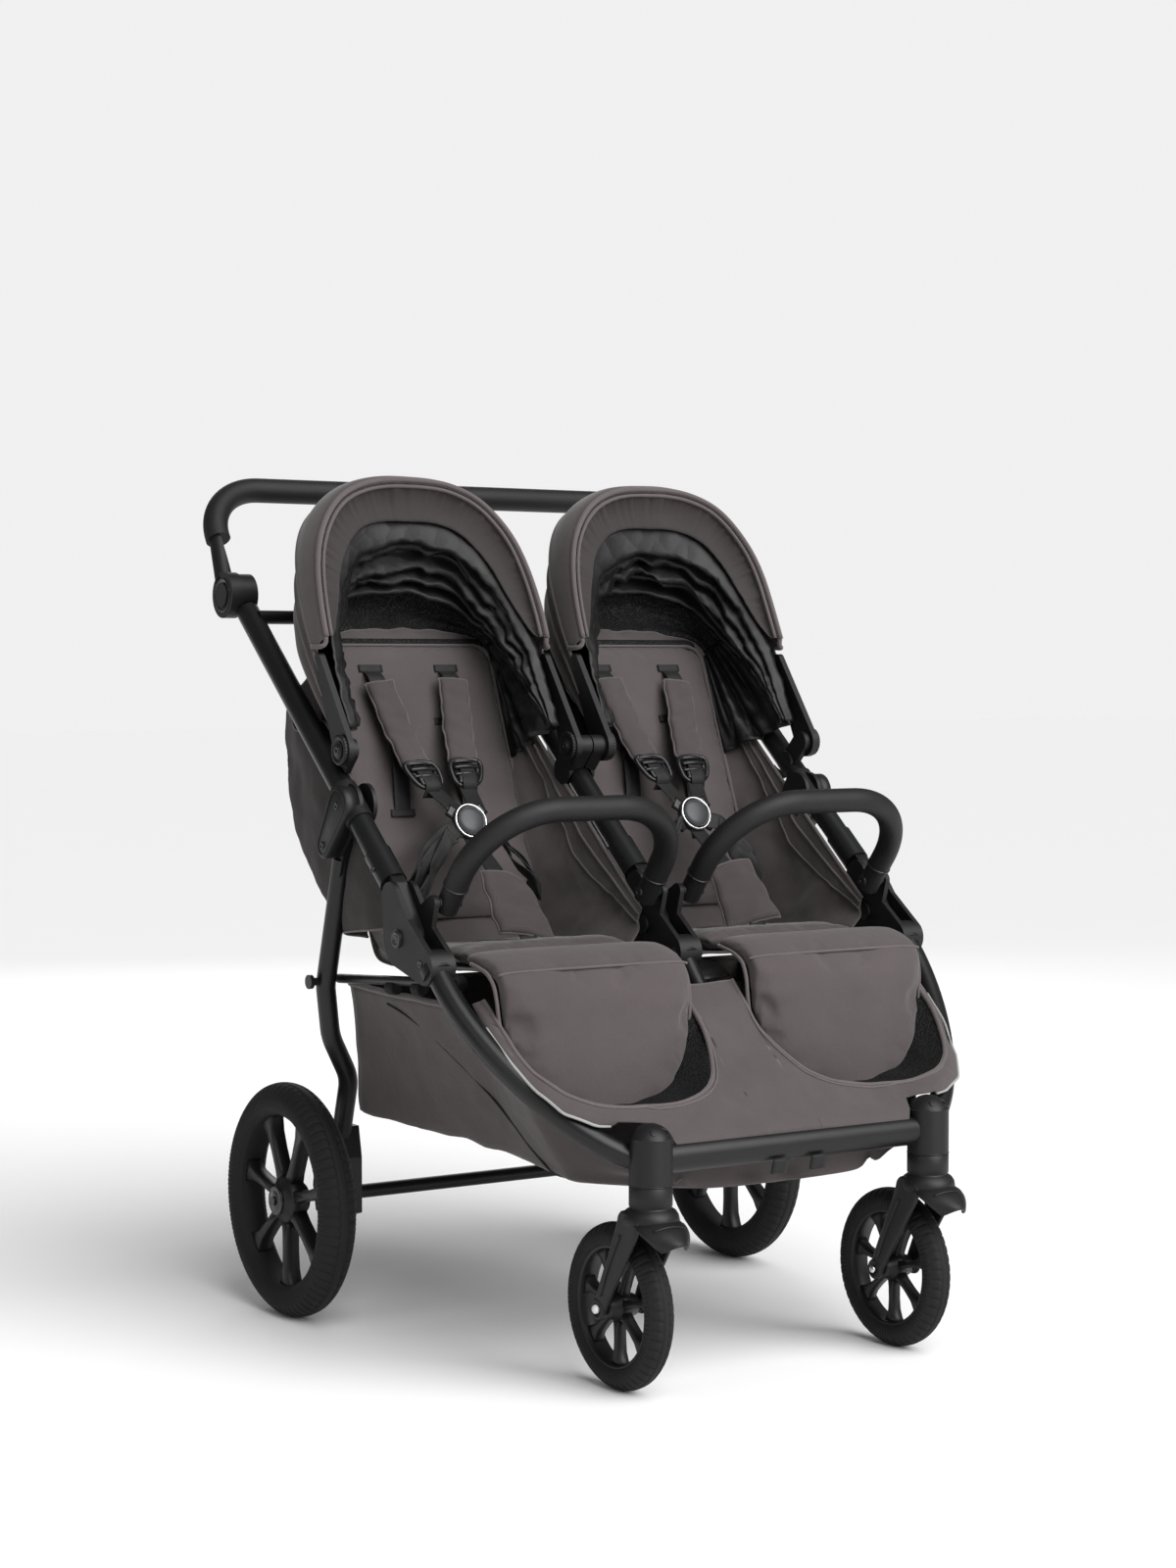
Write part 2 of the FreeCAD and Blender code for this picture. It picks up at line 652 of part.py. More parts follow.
def buckle():
    """Round five-point buckle with a bore for its button and a strap keeper behind."""
    centre = at(BUCKLE_X, BUCKLE_AT)
    out = buckle_direction()
    body = Part.makeCylinder(BUCKLE_R, BUCKLE_THICK, centre, out)
    bore = Part.makeCylinder(BUTTON_BORE, 9, centre + out * 6, out)
    keeper = Part.makeCylinder(9, 26, centre - out * 26, out)
    return join(body.cut(bore), keeper)


def buckle_button():
    """Release button that slides in the buckle's bore."""
    centre = at(BUCKLE_X, BUCKLE_AT) + buckle_direction() * 9.5
    return Part.makeCylinder(BUTTON_R, 6, centre, buckle_direction())


# ---- handle -------------------------------------------------------------------------------
HANDLE_R = 12.0
HANDLE_GAP = 0.6
HANDLE_TURN = 55.5       # direction of the arm from the hub, in degrees
GRIP_END = (392.0, 999.0)
KNOB_R = 30.0
BUTTON_WELL = 13.0       # depth of the hub button's well
HUB_BUTTON_R = 16.0


def handle_arm_path():
    """Both ends of the left handle arm."""
    return [at(HANDLE_X + 10, polar(HUB, 22, HANDLE_TURN)), at(HANDLE_X, GRIP_END)]


def handle_tube():
    """Both arms with their outer hub discs."""
    pieces = []
    start, grip = handle_arm_path()
    near = RIB_X + HUB_FACE + HANDLE_GAP
    far = RIB_X + 24
    for sign in (1, -1):
        arm = rod(start, grip, HANDLE_R)
        knob = disc(near, far, HUB, KNOB_R)
        axle = disc(RIB_X, near, HUB, HUB_AXLE_R)
        body = join(arm, knob, axle)
        inside = disc(RIB_X - 20, near - 0.01, HUB, 200).cut(disc(RIB_X - 21, near, HUB, HUB_AXLE_R))
        body = body.cut(inside)
        body = body.cut(disc(far - BUTTON_WELL, far + 1, HUB, HUB_BUTTON_R + 0.2)).cut(handle_grip())
        pieces.append(mirrored(body, sign))
    return pieces


def handle_grip():
    """Foam grip over the whole loop."""
    grip = handle_arm_path()[1]
    points = [grip, at(HANDLE_X, HANDLE_BAR), at(-HANDLE_X, HANDLE_BAR), Vec(-grip.x, grip.y, grip.z)]
    return sweep(rounded_path(points, [HANDLE_BEND, HANDLE_BEND]), GRIP_R)


def hub_button():
    """Push button in the middle of the handle's outer hub disc."""
    return disc(RIB_X + 16.5, RIB_X + 26.5, HUB, HUB_BUTTON_R)


# ---- rear frame ---------------------------------------------------------------------------
HOUSING_IN = 258.0
HOUSING_OUT = 300.0
AXLE_R = 6.0
AXLE_TUBE_R = 9.0
LEG_TURN = -72.3         # direction of the leg from its pivot, in degrees
STRUT_KNOB = (125.0, 438.0)
STRUT_X = 318.5
STRUT_R = 6.0


def leg_path():
    """Axis of the rear leg: down, inward behind the seats, and down into the axle housing."""
    top = polar(LEG_PIVOT, 18, LEG_TURN)
    points = [at(LEG_X, top), Vec(338, 126, 432), Vec(325, 138, 366), Vec(288, 158, 308),
              Vec(279, 196, 232), Vec(279, REAR_AXLE[0] - 2, 200)]
    return rounded_path(points, [60, 70, 70, 50])


def rear_leg():
    """Bent leg tube with a flat eye at its top and a knob where the strut reaches it."""
    pipe = tube(leg_path(), LEG_R)
    eye = link_plate(LEG_X - 7, LEG_X + 7, LEG_PIVOT, 13, polar(LEG_PIVOT, 34, LEG_TURN), 12)
    eye = eye.cut(disc(LEG_X - 20, LEG_X + 20, LEG_PIVOT, PIN_R + PIN_GAP))
    knob = join(disc(346, 358, STRUT_KNOB, 5), disc(358, 363, STRUT_KNOB, 9))
    return [join(pipe, eye), knob.cut(sweep(leg_path(), LEG_R))]


def rear_axle():
    """Cross tube with a moulded housing and a stub axle at each end."""
    centre_tube = disc(-HOUSING_IN, HOUSING_IN, REAR_AXLE, AXLE_TUBE_R).cut(
        disc(-HOUSING_IN - 1, HOUSING_IN + 1, REAR_AXLE, AXLE_TUBE_R - TUBE_WALL))
    pieces = [centre_tube]
    for sign in (1, -1):
        side = [(180, 128), (200, 122), (228, 128), (236, 160), (228, 214), (214, 240), (188, 240),
                (180, 200)]
        housing = side_plate(HOUSING_IN, HOUSING_OUT, side)
        stub = disc(HOUSING_OUT, REAR_X + 26, REAR_AXLE, AXLE_R)
        body = join(housing, stub)
        body = body.cut(sweep(leg_path(), LEG_R))
        pieces.append(mirrored(body, sign))
    return pieces


def brake_pedal():
    """Foot brake bar behind the axle tube, turning on it."""
    ring = disc(120, 150, REAR_AXLE, 15)
    pad = side_plate(112, 158, [(221, 146), (262, 136), (266, 146), (264, 152), (221, 158)])
    return join(ring, pad).cut(disc(100, 170, REAR_AXLE, AXLE_TUBE_R + PIN_GAP))


def strut():
    """Side strut from the lower bracket to the rear leg, with an open end at the leg."""
    low = STRUT_X - STRUT_R
    high = STRUT_X + STRUT_R
    bar = rod(at(STRUT_X, polar(STRUT_FRONT, 8, -4.1)), at(STRUT_X, STRUT_REAR), STRUT_R)
    eye = disc(low, high, STRUT_FRONT, 10)
    return join(bar, eye).cut(disc(low - 1, high + 1, STRUT_FRONT, STRUT_PIN_R + PIN_GAP))


# ---- casters ------------------------------------------------------------------------------
FORK_IN = 23.5
FORK_OUT = 31.0
COLLAR_HEIGHT = 24.0
COLLAR_GAP = 0.5
BOLT_R = 5.0
LIP_HALF = 27.0


def caster_fork():
    """Swivel collar, crown and two legs, with the wheel's axle bolt."""
    top = SOCKET_LOW - COLLAR_GAP
    stem = Part.makeCylinder(STEM_R, 38, Vec(CASTER_X, CASTER_Y, top))
    collar = Part.makeCylinder(SOCKET_R, COLLAR_HEIGHT, Vec(CASTER_X, CASTER_Y, top - COLLAR_HEIGHT))
    outline = [(-428, 206), (-424, 226), (-376, 226), (-352, 196), (-334, 150), (-321, 100),
               (-328, 84), (-338, 80), (-350, 86), (-362, 130), (-384, 176), (-412, 196)]
    sides = [side_plate(CASTER_X - FORK_OUT, CASTER_X - FORK_IN, outline),
             side_plate(CASTER_X + FORK_IN, CASTER_X + FORK_OUT, outline)]
    arch = [(-428, 200), (-424, 226), (-376, 226), (-360, 200)]
    crown = side_plate(CASTER_X - FORK_OUT, CASTER_X + FORK_OUT, arch)
    crown = crown.cut(disc(CASTER_X - 40, CASTER_X + 40, FRONT_AXLE, FRONT_R + 6))
    bolt = disc(CASTER_X - FORK_OUT - 3, CASTER_X + FORK_OUT + 3, FRONT_AXLE, BOLT_R)
    return join(stem, collar, crown, *sides, bolt)


def swivel_lock():
    """Lip-shaped pedal at the front of the fork that locks the swivel."""
    outline = [(-429, 212), (-432, 218), (-452, 199), (-460, 193), (-457, 188), (-446, 193)]
    return side_plate(CASTER_X - LIP_HALF, CASTER_X + LIP_HALF, outline)


# ---- write one file per node --------------------------------------------------------------


def add(nodes, name, shape):
    """Keeps a shape, or a list of them, under a node name."""
    pieces = shape if isinstance(shape, list) else [shape]
    nodes[name] = Part.makeCompound(pieces)


def build():
    """Every node of the stroller by name."""
    nodes = {}
    socket_posts = [Part.makeCylinder(SOCKET_R, 80, Vec(sign * CASTER_X, CASTER_Y, 240))
                    for sign in (1, -1)]
    add(nodes, "front_cross_tube", cut(cross_tube(), *socket_posts))
    centre_tube = tube(centre_front_path(), CENTRE_FRONT_R)
    add(nodes, "front_tube_centre", centre_tube.cut(cross_bar(CROSS_TALL, CROSS_DEEP)))
    add(nodes, "fold_bracket_centre", fold_bracket(0, False, (1, -1)).cut(
        sweep(centre_front_path(), CENTRE_FRONT_R)))
    add(nodes, "fold_pins", [fold_pin(x) for x in (-RIB_X, 0, RIB_X)] + [
        mirrored(strut_pin(), sign) for sign in (1, -1)])
    add(nodes, "socket_caps", [mirrored(socket_cap(), sign) for sign in (1, -1)])
    add(nodes, "caster_sockets", [mirrored(caster_socket(), sign) for sign in (1, -1)])
    add(nodes, "handle_hubs", [mirrored(handle_hub(), sign) for sign in (1, -1)])
    add(nodes, "canopy_mounts", [mirrored(clip, sign) for sign in (1, -1) for clip in canopy_mount()])
    add(nodes, "apron", apron())
    add(nodes, "basket", basket())
    add(nodes, "centre_frame", centre_frame())
    add(nodes, "handle_tube", handle_tube())
    add(nodes, "handle_grip", handle_grip())
    add(nodes, "rear_axle", rear_axle())
    add(nodes, "side_struts", [mirrored(strut(), sign) for sign in (1, -1)])
    add(nodes, "brake_pedal", brake_pedal())
    shapes = {
        "front_tube": cut(tube(side_front_path(), FRONT_TUBE_R), socket_posts[0]),
        "fold_bracket": fold_bracket(RIB_X, True, (-1,)).cut(sweep(side_front_path(), FRONT_TUBE_R)),
        "calf_pad": calf_pad(),
        "bumper_bar": bumper(),
        "upper_tube": upper_tube(RIB_X, rib_length() - HUB_PLUG),
        "leg_bracket": leg_bracket(),
        "seat_liner": seat_liner(),
        "canopy_shell": canopy_shell(),
        "canopy_visor": canopy_visor(),
        "canopy_hinge": canopy_hinge(),
        "backrest": backrest(),
        "harness": harness(),
        "buckle": buckle(),
        "buckle_button": buckle_button(),
        "hub_button": hub_button(),
        "rear_leg": rear_leg(),
        "rear_rim": rim(REAR_X, REAR_AXLE, REAR_RIM_R, REAR_HALF_WIDTH, 30, 19, AXLE_R + PIN_GAP),
        "rear_tyre": tyre(REAR_X, REAR_AXLE, REAR_R, REAR_RIM_R, REAR_HALF_WIDTH),
        "caster_fork": caster_fork(),
        "swivel_lock": swivel_lock(),
        "front_rim": rim(CASTER_X, FRONT_AXLE, FRONT_RIM_R, FRONT_HALF_WIDTH, 17, 21, BOLT_R + PIN_GAP),
        "front_tyre": tyre(CASTER_X, FRONT_AXLE, FRONT_R, FRONT_RIM_R, FRONT_HALF_WIDTH),
    }
    for name, shape in shapes.items():
        pieces = shape if isinstance(shape, list) else [shape]
        for side, sign in SIDES:
            add(nodes, name + "_" + side, [mirrored(piece, sign) for piece in pieces])
    return nodes


def main():
    """Writes one STEP file per node."""
    os.makedirs("parts", exist_ok=True)
    for name, shape in build().items():
        valid = shape.isValid()
        note = "" if valid else "NOT VALID"
        print(name, len(shape.Solids), "solids", round(shape.Volume / 1000), "cm3", note)
        shape.exportStep("parts/" + name + ".step")


main()
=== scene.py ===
"""Looks of the twin stroller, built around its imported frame.

Lengths are millimetres and angles degrees until piece() turns them into metres. Side-view points are (y, z).
The left side is +X, and every right-hand piece is the mirror image of the left one.
"""
import json
import math

import bmesh
import bpy
import numpy as np
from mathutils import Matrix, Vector, noise


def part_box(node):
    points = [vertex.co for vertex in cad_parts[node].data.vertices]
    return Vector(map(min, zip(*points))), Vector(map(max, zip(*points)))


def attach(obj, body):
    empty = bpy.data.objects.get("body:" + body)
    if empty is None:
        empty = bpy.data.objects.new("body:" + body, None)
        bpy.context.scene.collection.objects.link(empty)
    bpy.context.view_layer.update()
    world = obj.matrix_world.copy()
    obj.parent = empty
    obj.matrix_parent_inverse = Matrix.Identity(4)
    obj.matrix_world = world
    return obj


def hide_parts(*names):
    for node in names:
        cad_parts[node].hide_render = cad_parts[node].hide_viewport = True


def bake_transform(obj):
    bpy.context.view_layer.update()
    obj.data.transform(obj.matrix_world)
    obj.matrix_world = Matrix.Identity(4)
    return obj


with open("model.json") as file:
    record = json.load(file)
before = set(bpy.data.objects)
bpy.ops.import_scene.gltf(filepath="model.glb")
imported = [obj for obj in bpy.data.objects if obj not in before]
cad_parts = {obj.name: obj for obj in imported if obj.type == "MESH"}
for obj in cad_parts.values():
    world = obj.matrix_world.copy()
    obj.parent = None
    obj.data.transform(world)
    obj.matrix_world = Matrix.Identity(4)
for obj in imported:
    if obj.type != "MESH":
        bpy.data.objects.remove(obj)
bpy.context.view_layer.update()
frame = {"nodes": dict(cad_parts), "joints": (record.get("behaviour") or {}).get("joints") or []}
SCENE = bpy.context.scene
MM = 0.001
SIDES = (("left", 1), ("right", -1))
JOINT = {joint["name"]: joint for joint in frame["joints"]}


# ---- where things are ---------------------------------------------------------------------
def joint_at(name):
    """Side-view point of a joint's axis."""
    return [value / MM for value in JOINT[name]["pos_m"][1:]]


def box(node):
    """A node's lowest and highest corners."""
    low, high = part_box(node)
    return np.array(low) / MM, np.array(high) / MM


FOLD = joint_at("fold")
CANOPY_PIVOT = joint_at("canopy_left")
BUMPER_PIVOT = joint_at("bumper_fold_left")
RIB_SLOPE = 0.85         # rise over run of the side tubes
RIB_FOOT = (6.0, 640.0)  # a side-view point on their axis
RIB_X = 350.0
SEAT_X = 177.0
BIGHT = (60.0, 480.0)    # where seat and backrest meet
BACK_TILT = 68.0
CANOPY_X = 189.0
CANOPY_HALF = 168.0


def polar(centre, radius, degrees):
    """Side-view point at a radius and an angle above the rearward horizontal."""
    angle = np.radians(degrees)
    return centre[0] + radius * np.cos(angle), centre[1] + radius * np.sin(angle)


def on_rib(distance, above=0.0):
    """Side-view point along the side tube from the fold pin's foot, and above its axis."""
    length = math.hypot(1.0, RIB_SLOPE)
    along = (1.0 / length, RIB_SLOPE / length)
    start = (FOLD[0] - RIB_FOOT[0]) * along[0] + (FOLD[1] - RIB_FOOT[1]) * along[1]
    step = start + distance
    return (RIB_FOOT[0] + along[0] * step - along[1] * above,
            RIB_FOOT[1] + along[1] * step + along[0] * above)


def on_back(distance, behind=0.0):
    """Side-view point up the backrest's front face, and behind it."""
    angle = math.radians(BACK_TILT)
    y = BIGHT[0] + distance * np.cos(angle) + behind * np.sin(angle)
    z = BIGHT[1] + distance * np.sin(angle) - behind * np.cos(angle)
    return y, z


# ---- mesh helpers -------------------------------------------------------------------------
def unit(vectors):
    """Vectors of length 1 along the last axis."""
    return vectors / np.maximum(np.linalg.norm(vectors, axis=-1, keepdims=True), 1e-9)


def quads(rows, columns, wrap_rows=False, wrap_columns=False):
    """Faces of a grid of points stored row by row."""
    faces = []
    for row in range(rows if wrap_rows else rows - 1):
        for column in range(columns if wrap_columns else columns - 1):
            below = (row + 1) % rows
            right = (column + 1) % columns
            faces.append((row * columns + column, row * columns + right,
                          below * columns + right, below * columns + column))
    return faces


def tube_faces(rings, sides):
    """Faces of a stack of rings, closed by a cap at each end."""
    caps = [tuple(range(sides)), tuple(reversed(range((rings - 1) * sides, rings * sides)))]
    return quads(rings, sides, wrap_columns=True) + caps


def merged(parts):
    """Several (points, faces) pairs as one."""
    points, faces, start = [], [], 0
    for part_points, part_faces in parts:
        points.append(np.asarray(part_points, float).reshape(-1, 3))
        faces += [tuple(index + start for index in face) for face in part_faces]
        start += len(points[-1])
    return np.concatenate(points), faces


def piece(name, parts, material, body=None, smooth=True):
    """A mesh object from (points, faces) pairs in millimetres, riding on a body."""
    points, faces = merged(parts if isinstance(parts, list) else [parts])
    mesh = bpy.data.meshes.new(name)
    mesh.from_pydata((points * MM).tolist(), [], faces)
    mesh.materials.append(material)
    shape = bmesh.new()
    shape.from_mesh(mesh)
    bmesh.ops.recalc_face_normals(shape, faces=shape.faces)
    shape.to_mesh(mesh)
    shape.free()
    mesh.polygons.foreach_set("use_smooth", [smooth] * len(mesh.polygons))
    made = bpy.data.objects.new(name, mesh)
    SCENE.collection.objects.link(made)
    if body:
        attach(made, body)
    return made


def mirror(parts, sign):
    """The parts as they are for +1, and their mirror image for -1."""
    made = []
    for points, faces in (parts if isinstance(parts, list) else [parts]):
        made.append((np.asarray(points, float) * np.array([sign, 1, 1]), faces))
    return made


def swept(x, path):
    """A grid whose rows stand at a side-view path's points, across the values of x."""
    return np.stack(np.broadcast_arrays(x, path[:, 1:2], path[:, 2:3]), axis=-1)


def grid_normals(grid):
    """A unit normal at every point of a grid."""
    return unit(np.cross(np.gradient(grid, axis=0), np.gradient(grid, axis=1)))


def sheet_mesh(grid, thickness):
    """A closed thin shell around a grid of points."""
    rows, columns = grid.shape[:2]
    lift = grid_normals(grid) * thickness / 2
    count = rows * columns
    faces = quads(rows, columns)
    faces += [tuple(index + count for index in reversed(face)) for face in faces]
    rim = list(range(columns)) + [row * columns + columns - 1 for row in range(1, rows)]
    rim += [(rows - 1) * columns + column for column in range(columns - 2, -1, -1)]
    rim += [row * columns for row in range(rows - 2, 0, -1)]
    for first, second in zip(rim, rim[1:] + rim[:1]):
        faces.append((second, first, first + count, second + count))
    return np.concatenate([(grid + lift).reshape(-1, 3), (grid - lift).reshape(-1, 3)]), faces


def resampled(path, step):
    """The path's points again, evenly spaced about step apart."""
    path = np.asarray(path, float)
    runs = np.linalg.norm(np.diff(path, axis=0), axis=1)
    reach = np.concatenate([[0], np.cumsum(runs)])
    count = max(2, int(round(reach[-1] / step)) + 1)
    wanted = np.linspace(0, reach[-1], count)
    return np.stack([np.interp(wanted, reach, path[:, axis]) for axis in range(3)], axis=1)


def smoothed(points, step=4.0, closed=False):
    """A Catmull-Rom curve through the points."""
    points = np.asarray(points, float)
    if closed:
        padded = np.concatenate([points[-1:], points, points[:2]])
    else:
        padded = np.concatenate([[2 * points[0] - points[1]], points, [2 * points[-1] - points[-2]]])
    curve = []
    for before, start, end, after in zip(padded, padded[1:], padded[2:], padded[3:]):
        for t in np.linspace(0, 1, 12, endpoint=False):
            curve.append(0.5 * (2 * start + (end - before) * t
                                + (2 * before - 5 * start + 4 * end - after) * t ** 2
                                + (3 * start - before - 3 * end + after) * t ** 3))
    if not closed:
        curve.append(points[-1])
    return resampled(curve, step)


def frames_along(path, up=None):
    """Unit tangent, side and normal at every point of a path."""
    tangents = unit(np.gradient(path, axis=0))
    if up is not None:
        side = unit(np.cross(tangents, np.broadcast_to(up, path.shape)))
        return tangents, side, np.cross(side, tangents)
    start = np.array([1.0, 0, 0]) if abs(tangents[0][0]) < 0.8 else np.array([0, 0, 1.0])
    side = [unit(np.cross(tangents[0], start))]
    for tangent in tangents[1:]:
        side.append(unit(side[-1] - tangent * np.dot(side[-1], tangent)))
    side = np.array(side)
    return tangents, side, np.cross(side, tangents)


def pipe_mesh(path, radius, sides=8, closed=False, up=None):
    """A round cord along a path. The radius may be one value per point."""
    path = np.asarray(path, float)
    _, side, normal = frames_along(path, up)
    turn = np.linspace(0, 2 * np.pi, sides, endpoint=False)
    ring = np.cos(turn)[None, :, None] * side[:, None] + np.sin(turn)[None, :, None] * normal[:, None]
    radius = np.broadcast_to(np.asarray(radius, float), (len(path),))
    points = path[:, None] + ring * radius[:, None, None]
    faces = quads(len(path), sides, True, True) if closed else tube_faces(len(path), sides)
    return points.reshape(-1, 3), faces


def strap_mesh(path, across, width, thickness):
    """Flat webbing along a path: across is its sideways direction, one vector or one per point."""
    path = np.asarray(path, float)
    across = unit(np.broadcast_to(np.asarray(across, float), path.shape))
    lift = unit(np.cross(np.gradient(path, axis=0), across))
    width = np.broadcast_to(np.asarray(width, float), (len(path),))
    outline = [(-0.5, -0.2), (-0.46, -0.5), (-0.2, -0.5), (0.2, -0.5), (0.46, -0.5), (0.5, -0.2),
               (0.5, 0.2), (0.46, 0.5), (0.2, 0.5), (-0.2, 0.5), (-0.46, 0.5), (-0.5, 0.2)]
    rings = []
    for u, v in outline:
        rings.append(path + across * (u * width)[:, None] + lift * (v * thickness))
    return np.stack(rings, axis=1).reshape(-1, 3), tube_faces(len(path), len(outline))


def stitch_mesh(path, pitch=4.2, length=2.9, radius=0.42):
    """A row of thread stitches: small spindles along a path."""
    centres = resampled(path, pitch)
    tangents, side, normal = frames_along(centres)
    parts = []
    for centre, along, out, up in zip(centres, tangents, side, normal):
        ends = [centre - along * length / 2, centre + along * length / 2]
        belt = [centre + out * radius, centre + up * radius, centre - out * radius, centre - up * radius]
        faces = []
        for index in range(4):
            faces += [(0, 2 + index, 2 + (index + 1) % 4), (1, 2 + (index + 1) % 4, 2 + index)]
        parts.append((np.array(ends + belt), faces))
    return merged(parts)


def lathe_mesh(profile, centre, axis, sides=40):
    """A solid turned from a profile of (radius, height) points about an axis through centre."""
    axis = unit(np.asarray(axis, float))
    start = np.array([0, 0, 1.0]) if abs(axis[2]) < 0.8 else np.array([1.0, 0, 0])
    side = unit(np.cross(axis, start))
    other = np.cross(axis, side)
    turn = np.linspace(0, 2 * np.pi, sides, endpoint=False)
    ring = np.cos(turn)[:, None] * side + np.sin(turn)[:, None] * other
    rows = [np.asarray(centre) + axis * height + ring * radius for radius, height in profile]
    return np.concatenate(rows), tube_faces(len(rows), sides)


def rumple(points, size, amount, seed, ridged=False):
    """One noise value per point, times amount: soft, or with sharp creases when ridged."""
    flat = np.asarray(points, float).reshape(-1, 3)
    shift = Vector((seed * 7.31, seed * 3.17, seed * 5.83))
    values = np.array([noise.noise(Vector(point / size) + shift) for point in flat])
    if ridged:
        values = 0.5 - 2 * np.abs(values)
    return (values * amount).reshape(np.asarray(points).shape[:-1])


def rumpled(grid, size, amount, seed, ridged=False):
    """The grid pushed along its normals by noise."""
    return grid + grid_normals(grid) * rumple(grid, size, amount, seed, ridged)[..., None]


# ---- materials ----------------------------------------------------------------------------
class Nodes:
    """A material's node tree, with short ways to add to it. Its textures use the object's own space."""

    def __init__(self, name, colour, roughness, **sockets):
        self.material = bpy.data.materials.new(name)
        self.material.use_nodes = True
        self.tree = self.material.node_tree
        self.shader = self.tree.nodes["Principled BSDF"]
        self.shader.inputs["Base Color"].default_value = (*colour, 1)
        self.shader.inputs["Roughness"].default_value = roughness
        for socket, value in sockets.items():
            self.shader.inputs[socket.replace("_", " ")].default_value = value
        self.place = self.add("ShaderNodeTexCoord").outputs["Object"]
        self.height = None

    def add(self, kind, **settings):
        """A new node, with values for its inputs or properties."""
        node = self.tree.nodes.new(kind)
        for name, value in settings.items():
            if name in node.inputs:
                node.inputs[name].default_value = value
            else:
                setattr(node, name, value)
        return node

    def link(self, output, target):
        """Joins an output to an input."""
        self.tree.links.new(output, target)

    def noise(self, scale, detail=3.0, stretch=None):
        """Soft noise, drawn out along an axis when stretched."""
        node = self.add("ShaderNodeTexNoise", Scale=scale, Detail=detail)
        source = self.place
        if stretch:
            mapping = self.add("ShaderNodeMapping", Scale=stretch)
            self.link(source, mapping.inputs["Vector"])
            source = mapping.outputs["Vector"]
        self.link(source, node.inputs["Vector"])
        return node.outputs["Fac"]

    def threads(self, direction, pitch):
        """Parallel threads pitch millimetres apart."""
        node = self.add("ShaderNodeTexWave", Scale=0.314159 / (pitch * MM), Distortion=0.6)
        node.bands_direction = direction
        self.link(self.place, node.inputs["Vector"])
        return node.outputs["Fac"]

    def cells(self, scale, feature="F1"):
        """Distance to the nearest of scattered points."""
        node = self.add("ShaderNodeTexVoronoi", Scale=scale, feature=feature)
        self.link(self.place, node.inputs["Vector"])
        return node.outputs["Distance"]

    def ramp(self, source, low, high, from_low=0.0, from_high=1.0):
        """The source stretched from one range to another."""
        node = self.add("ShaderNodeMapRange")
        for index, value in enumerate((from_low, from_high, low, high), start=1):
            node.inputs[index].default_value = value
        self.link(source, node.inputs[0])
        return node.outputs[0]

    def maths(self, operation, first, second):
        """A sum, product or other operation on two values."""
        node = self.add("ShaderNodeMath", operation=operation)
        for index, value in enumerate((first, second)):
            if isinstance(value, (int, float)):
                node.inputs[index].default_value = value
            else:
                self.link(value, node.inputs[index])
        return node.outputs[0]

    def tint(self, source, dark, light):
        """The base colour runs between two colours with the source."""
        node = self.add("ShaderNodeMix", data_type="RGBA")
        self.link(source, node.inputs[0])
        node.inputs[6].default_value = (*dark, 1)
        node.inputs[7].default_value = (*light, 1)
        self.link(node.outputs[2], self.shader.inputs["Base Color"])
        return node

    def rough(self, source, low, high):
        """The roughness runs between two values with the source."""
        self.link(self.ramp(source, low, high), self.shader.inputs["Roughness"])

    def bump(self, source, depth, strength=1.0):
        """Adds a relief of that depth in millimetres."""
        node = self.add("ShaderNodeBump", Strength=strength, Distance=depth * MM)
        self.link(source, node.inputs["Height"])
        if self.height:
            self.link(self.height, node.inputs["Normal"])
        self.height = node.outputs["Normal"]
        self.link(self.height, self.shader.inputs["Normal"])


def shade(colour, factor):
    """The colour made darker or lighter."""
    return tuple(channel * factor for channel in colour)


TAUPE = (0.0685, 0.0568, 0.0566)


def woven(name, colour, pitch=0.9, sheen=0.25, roughness=0.82):
    """Tight plain weave with slubs, slow colour drift and fine creases."""
    nodes = Nodes(name, colour, roughness, Sheen_Weight=sheen, Sheen_Roughness=0.45)
    nodes.shader.inputs["Specular IOR Level"].default_value = 0.28
    weave = nodes.maths("MULTIPLY", nodes.threads("X", pitch), nodes.threads("Z", pitch))
    weave = nodes.maths("ADD", weave, nodes.ramp(nodes.threads("Y", pitch), 0, 0.5))
    slub = nodes.noise(900, 2, stretch=(1, 1, 0.12))
    drift = nodes.noise(9, 4)
    blend = nodes.maths("ADD", nodes.ramp(drift, 0, 0.55, 0.3, 0.7), nodes.ramp(slub, 0, 0.45, 0.3, 0.7))
    nodes.tint(blend, shade(colour, 0.84), shade(colour, 1.14))
    nodes.rough(slub, roughness - 0.08, roughness + 0.08)
    nodes.bump(weave, 0.16, 0.5)
    nodes.bump(nodes.noise(55, 3), 1.4, 0.45)
    nodes.bump(nodes.noise(19, 4), 3.6, 0.35)
    return nodes.material


def nylon(name, colour):
    """Thin crisp liner cloth with a soft gloss and sharp small creases; its colour is painted shade in the
    crease hollows and painted highlight on the crests.
    """
    nodes = Nodes(name, colour, 0.46, Sheen_Weight=0.02, Sheen_Roughness=0.3, Specular_IOR_Level=0.34)
    creases = nodes.noise(70, 5)
    # Painted shade and highlight: the colour follows the crease relief, darker in its hollows and lighter on
    # its crests.
    nodes.tint(creases, shade(colour, 0.75), shade(colour, 1.35))
    nodes.rough(nodes.noise(30, 4), 0.36, 0.56)
    nodes.bump(nodes.threads("X", 0.7), 0.06, 0.4)
    nodes.bump(creases, 1.4, 0.4)
    nodes.bump(nodes.cells(34), 5.0, 0.45)
    return nodes.material


def open_mesh(name, colour):
    """Honeycomb mesh: raised strands round dark cells."""
    nodes = Nodes(name, colour, 0.7, Specular_IOR_Level=0.2)
    cells = nodes.cells(420)
    strands = nodes.ramp(cells, 0, 1, 0.35, 0.62)
    nodes.tint(strands, shade(colour, 0.2), shade(colour, 1.5))
    nodes.rough(strands, 0.85, 0.6)
    nodes.bump(strands, 0.5, 0.9)
    return nodes.material


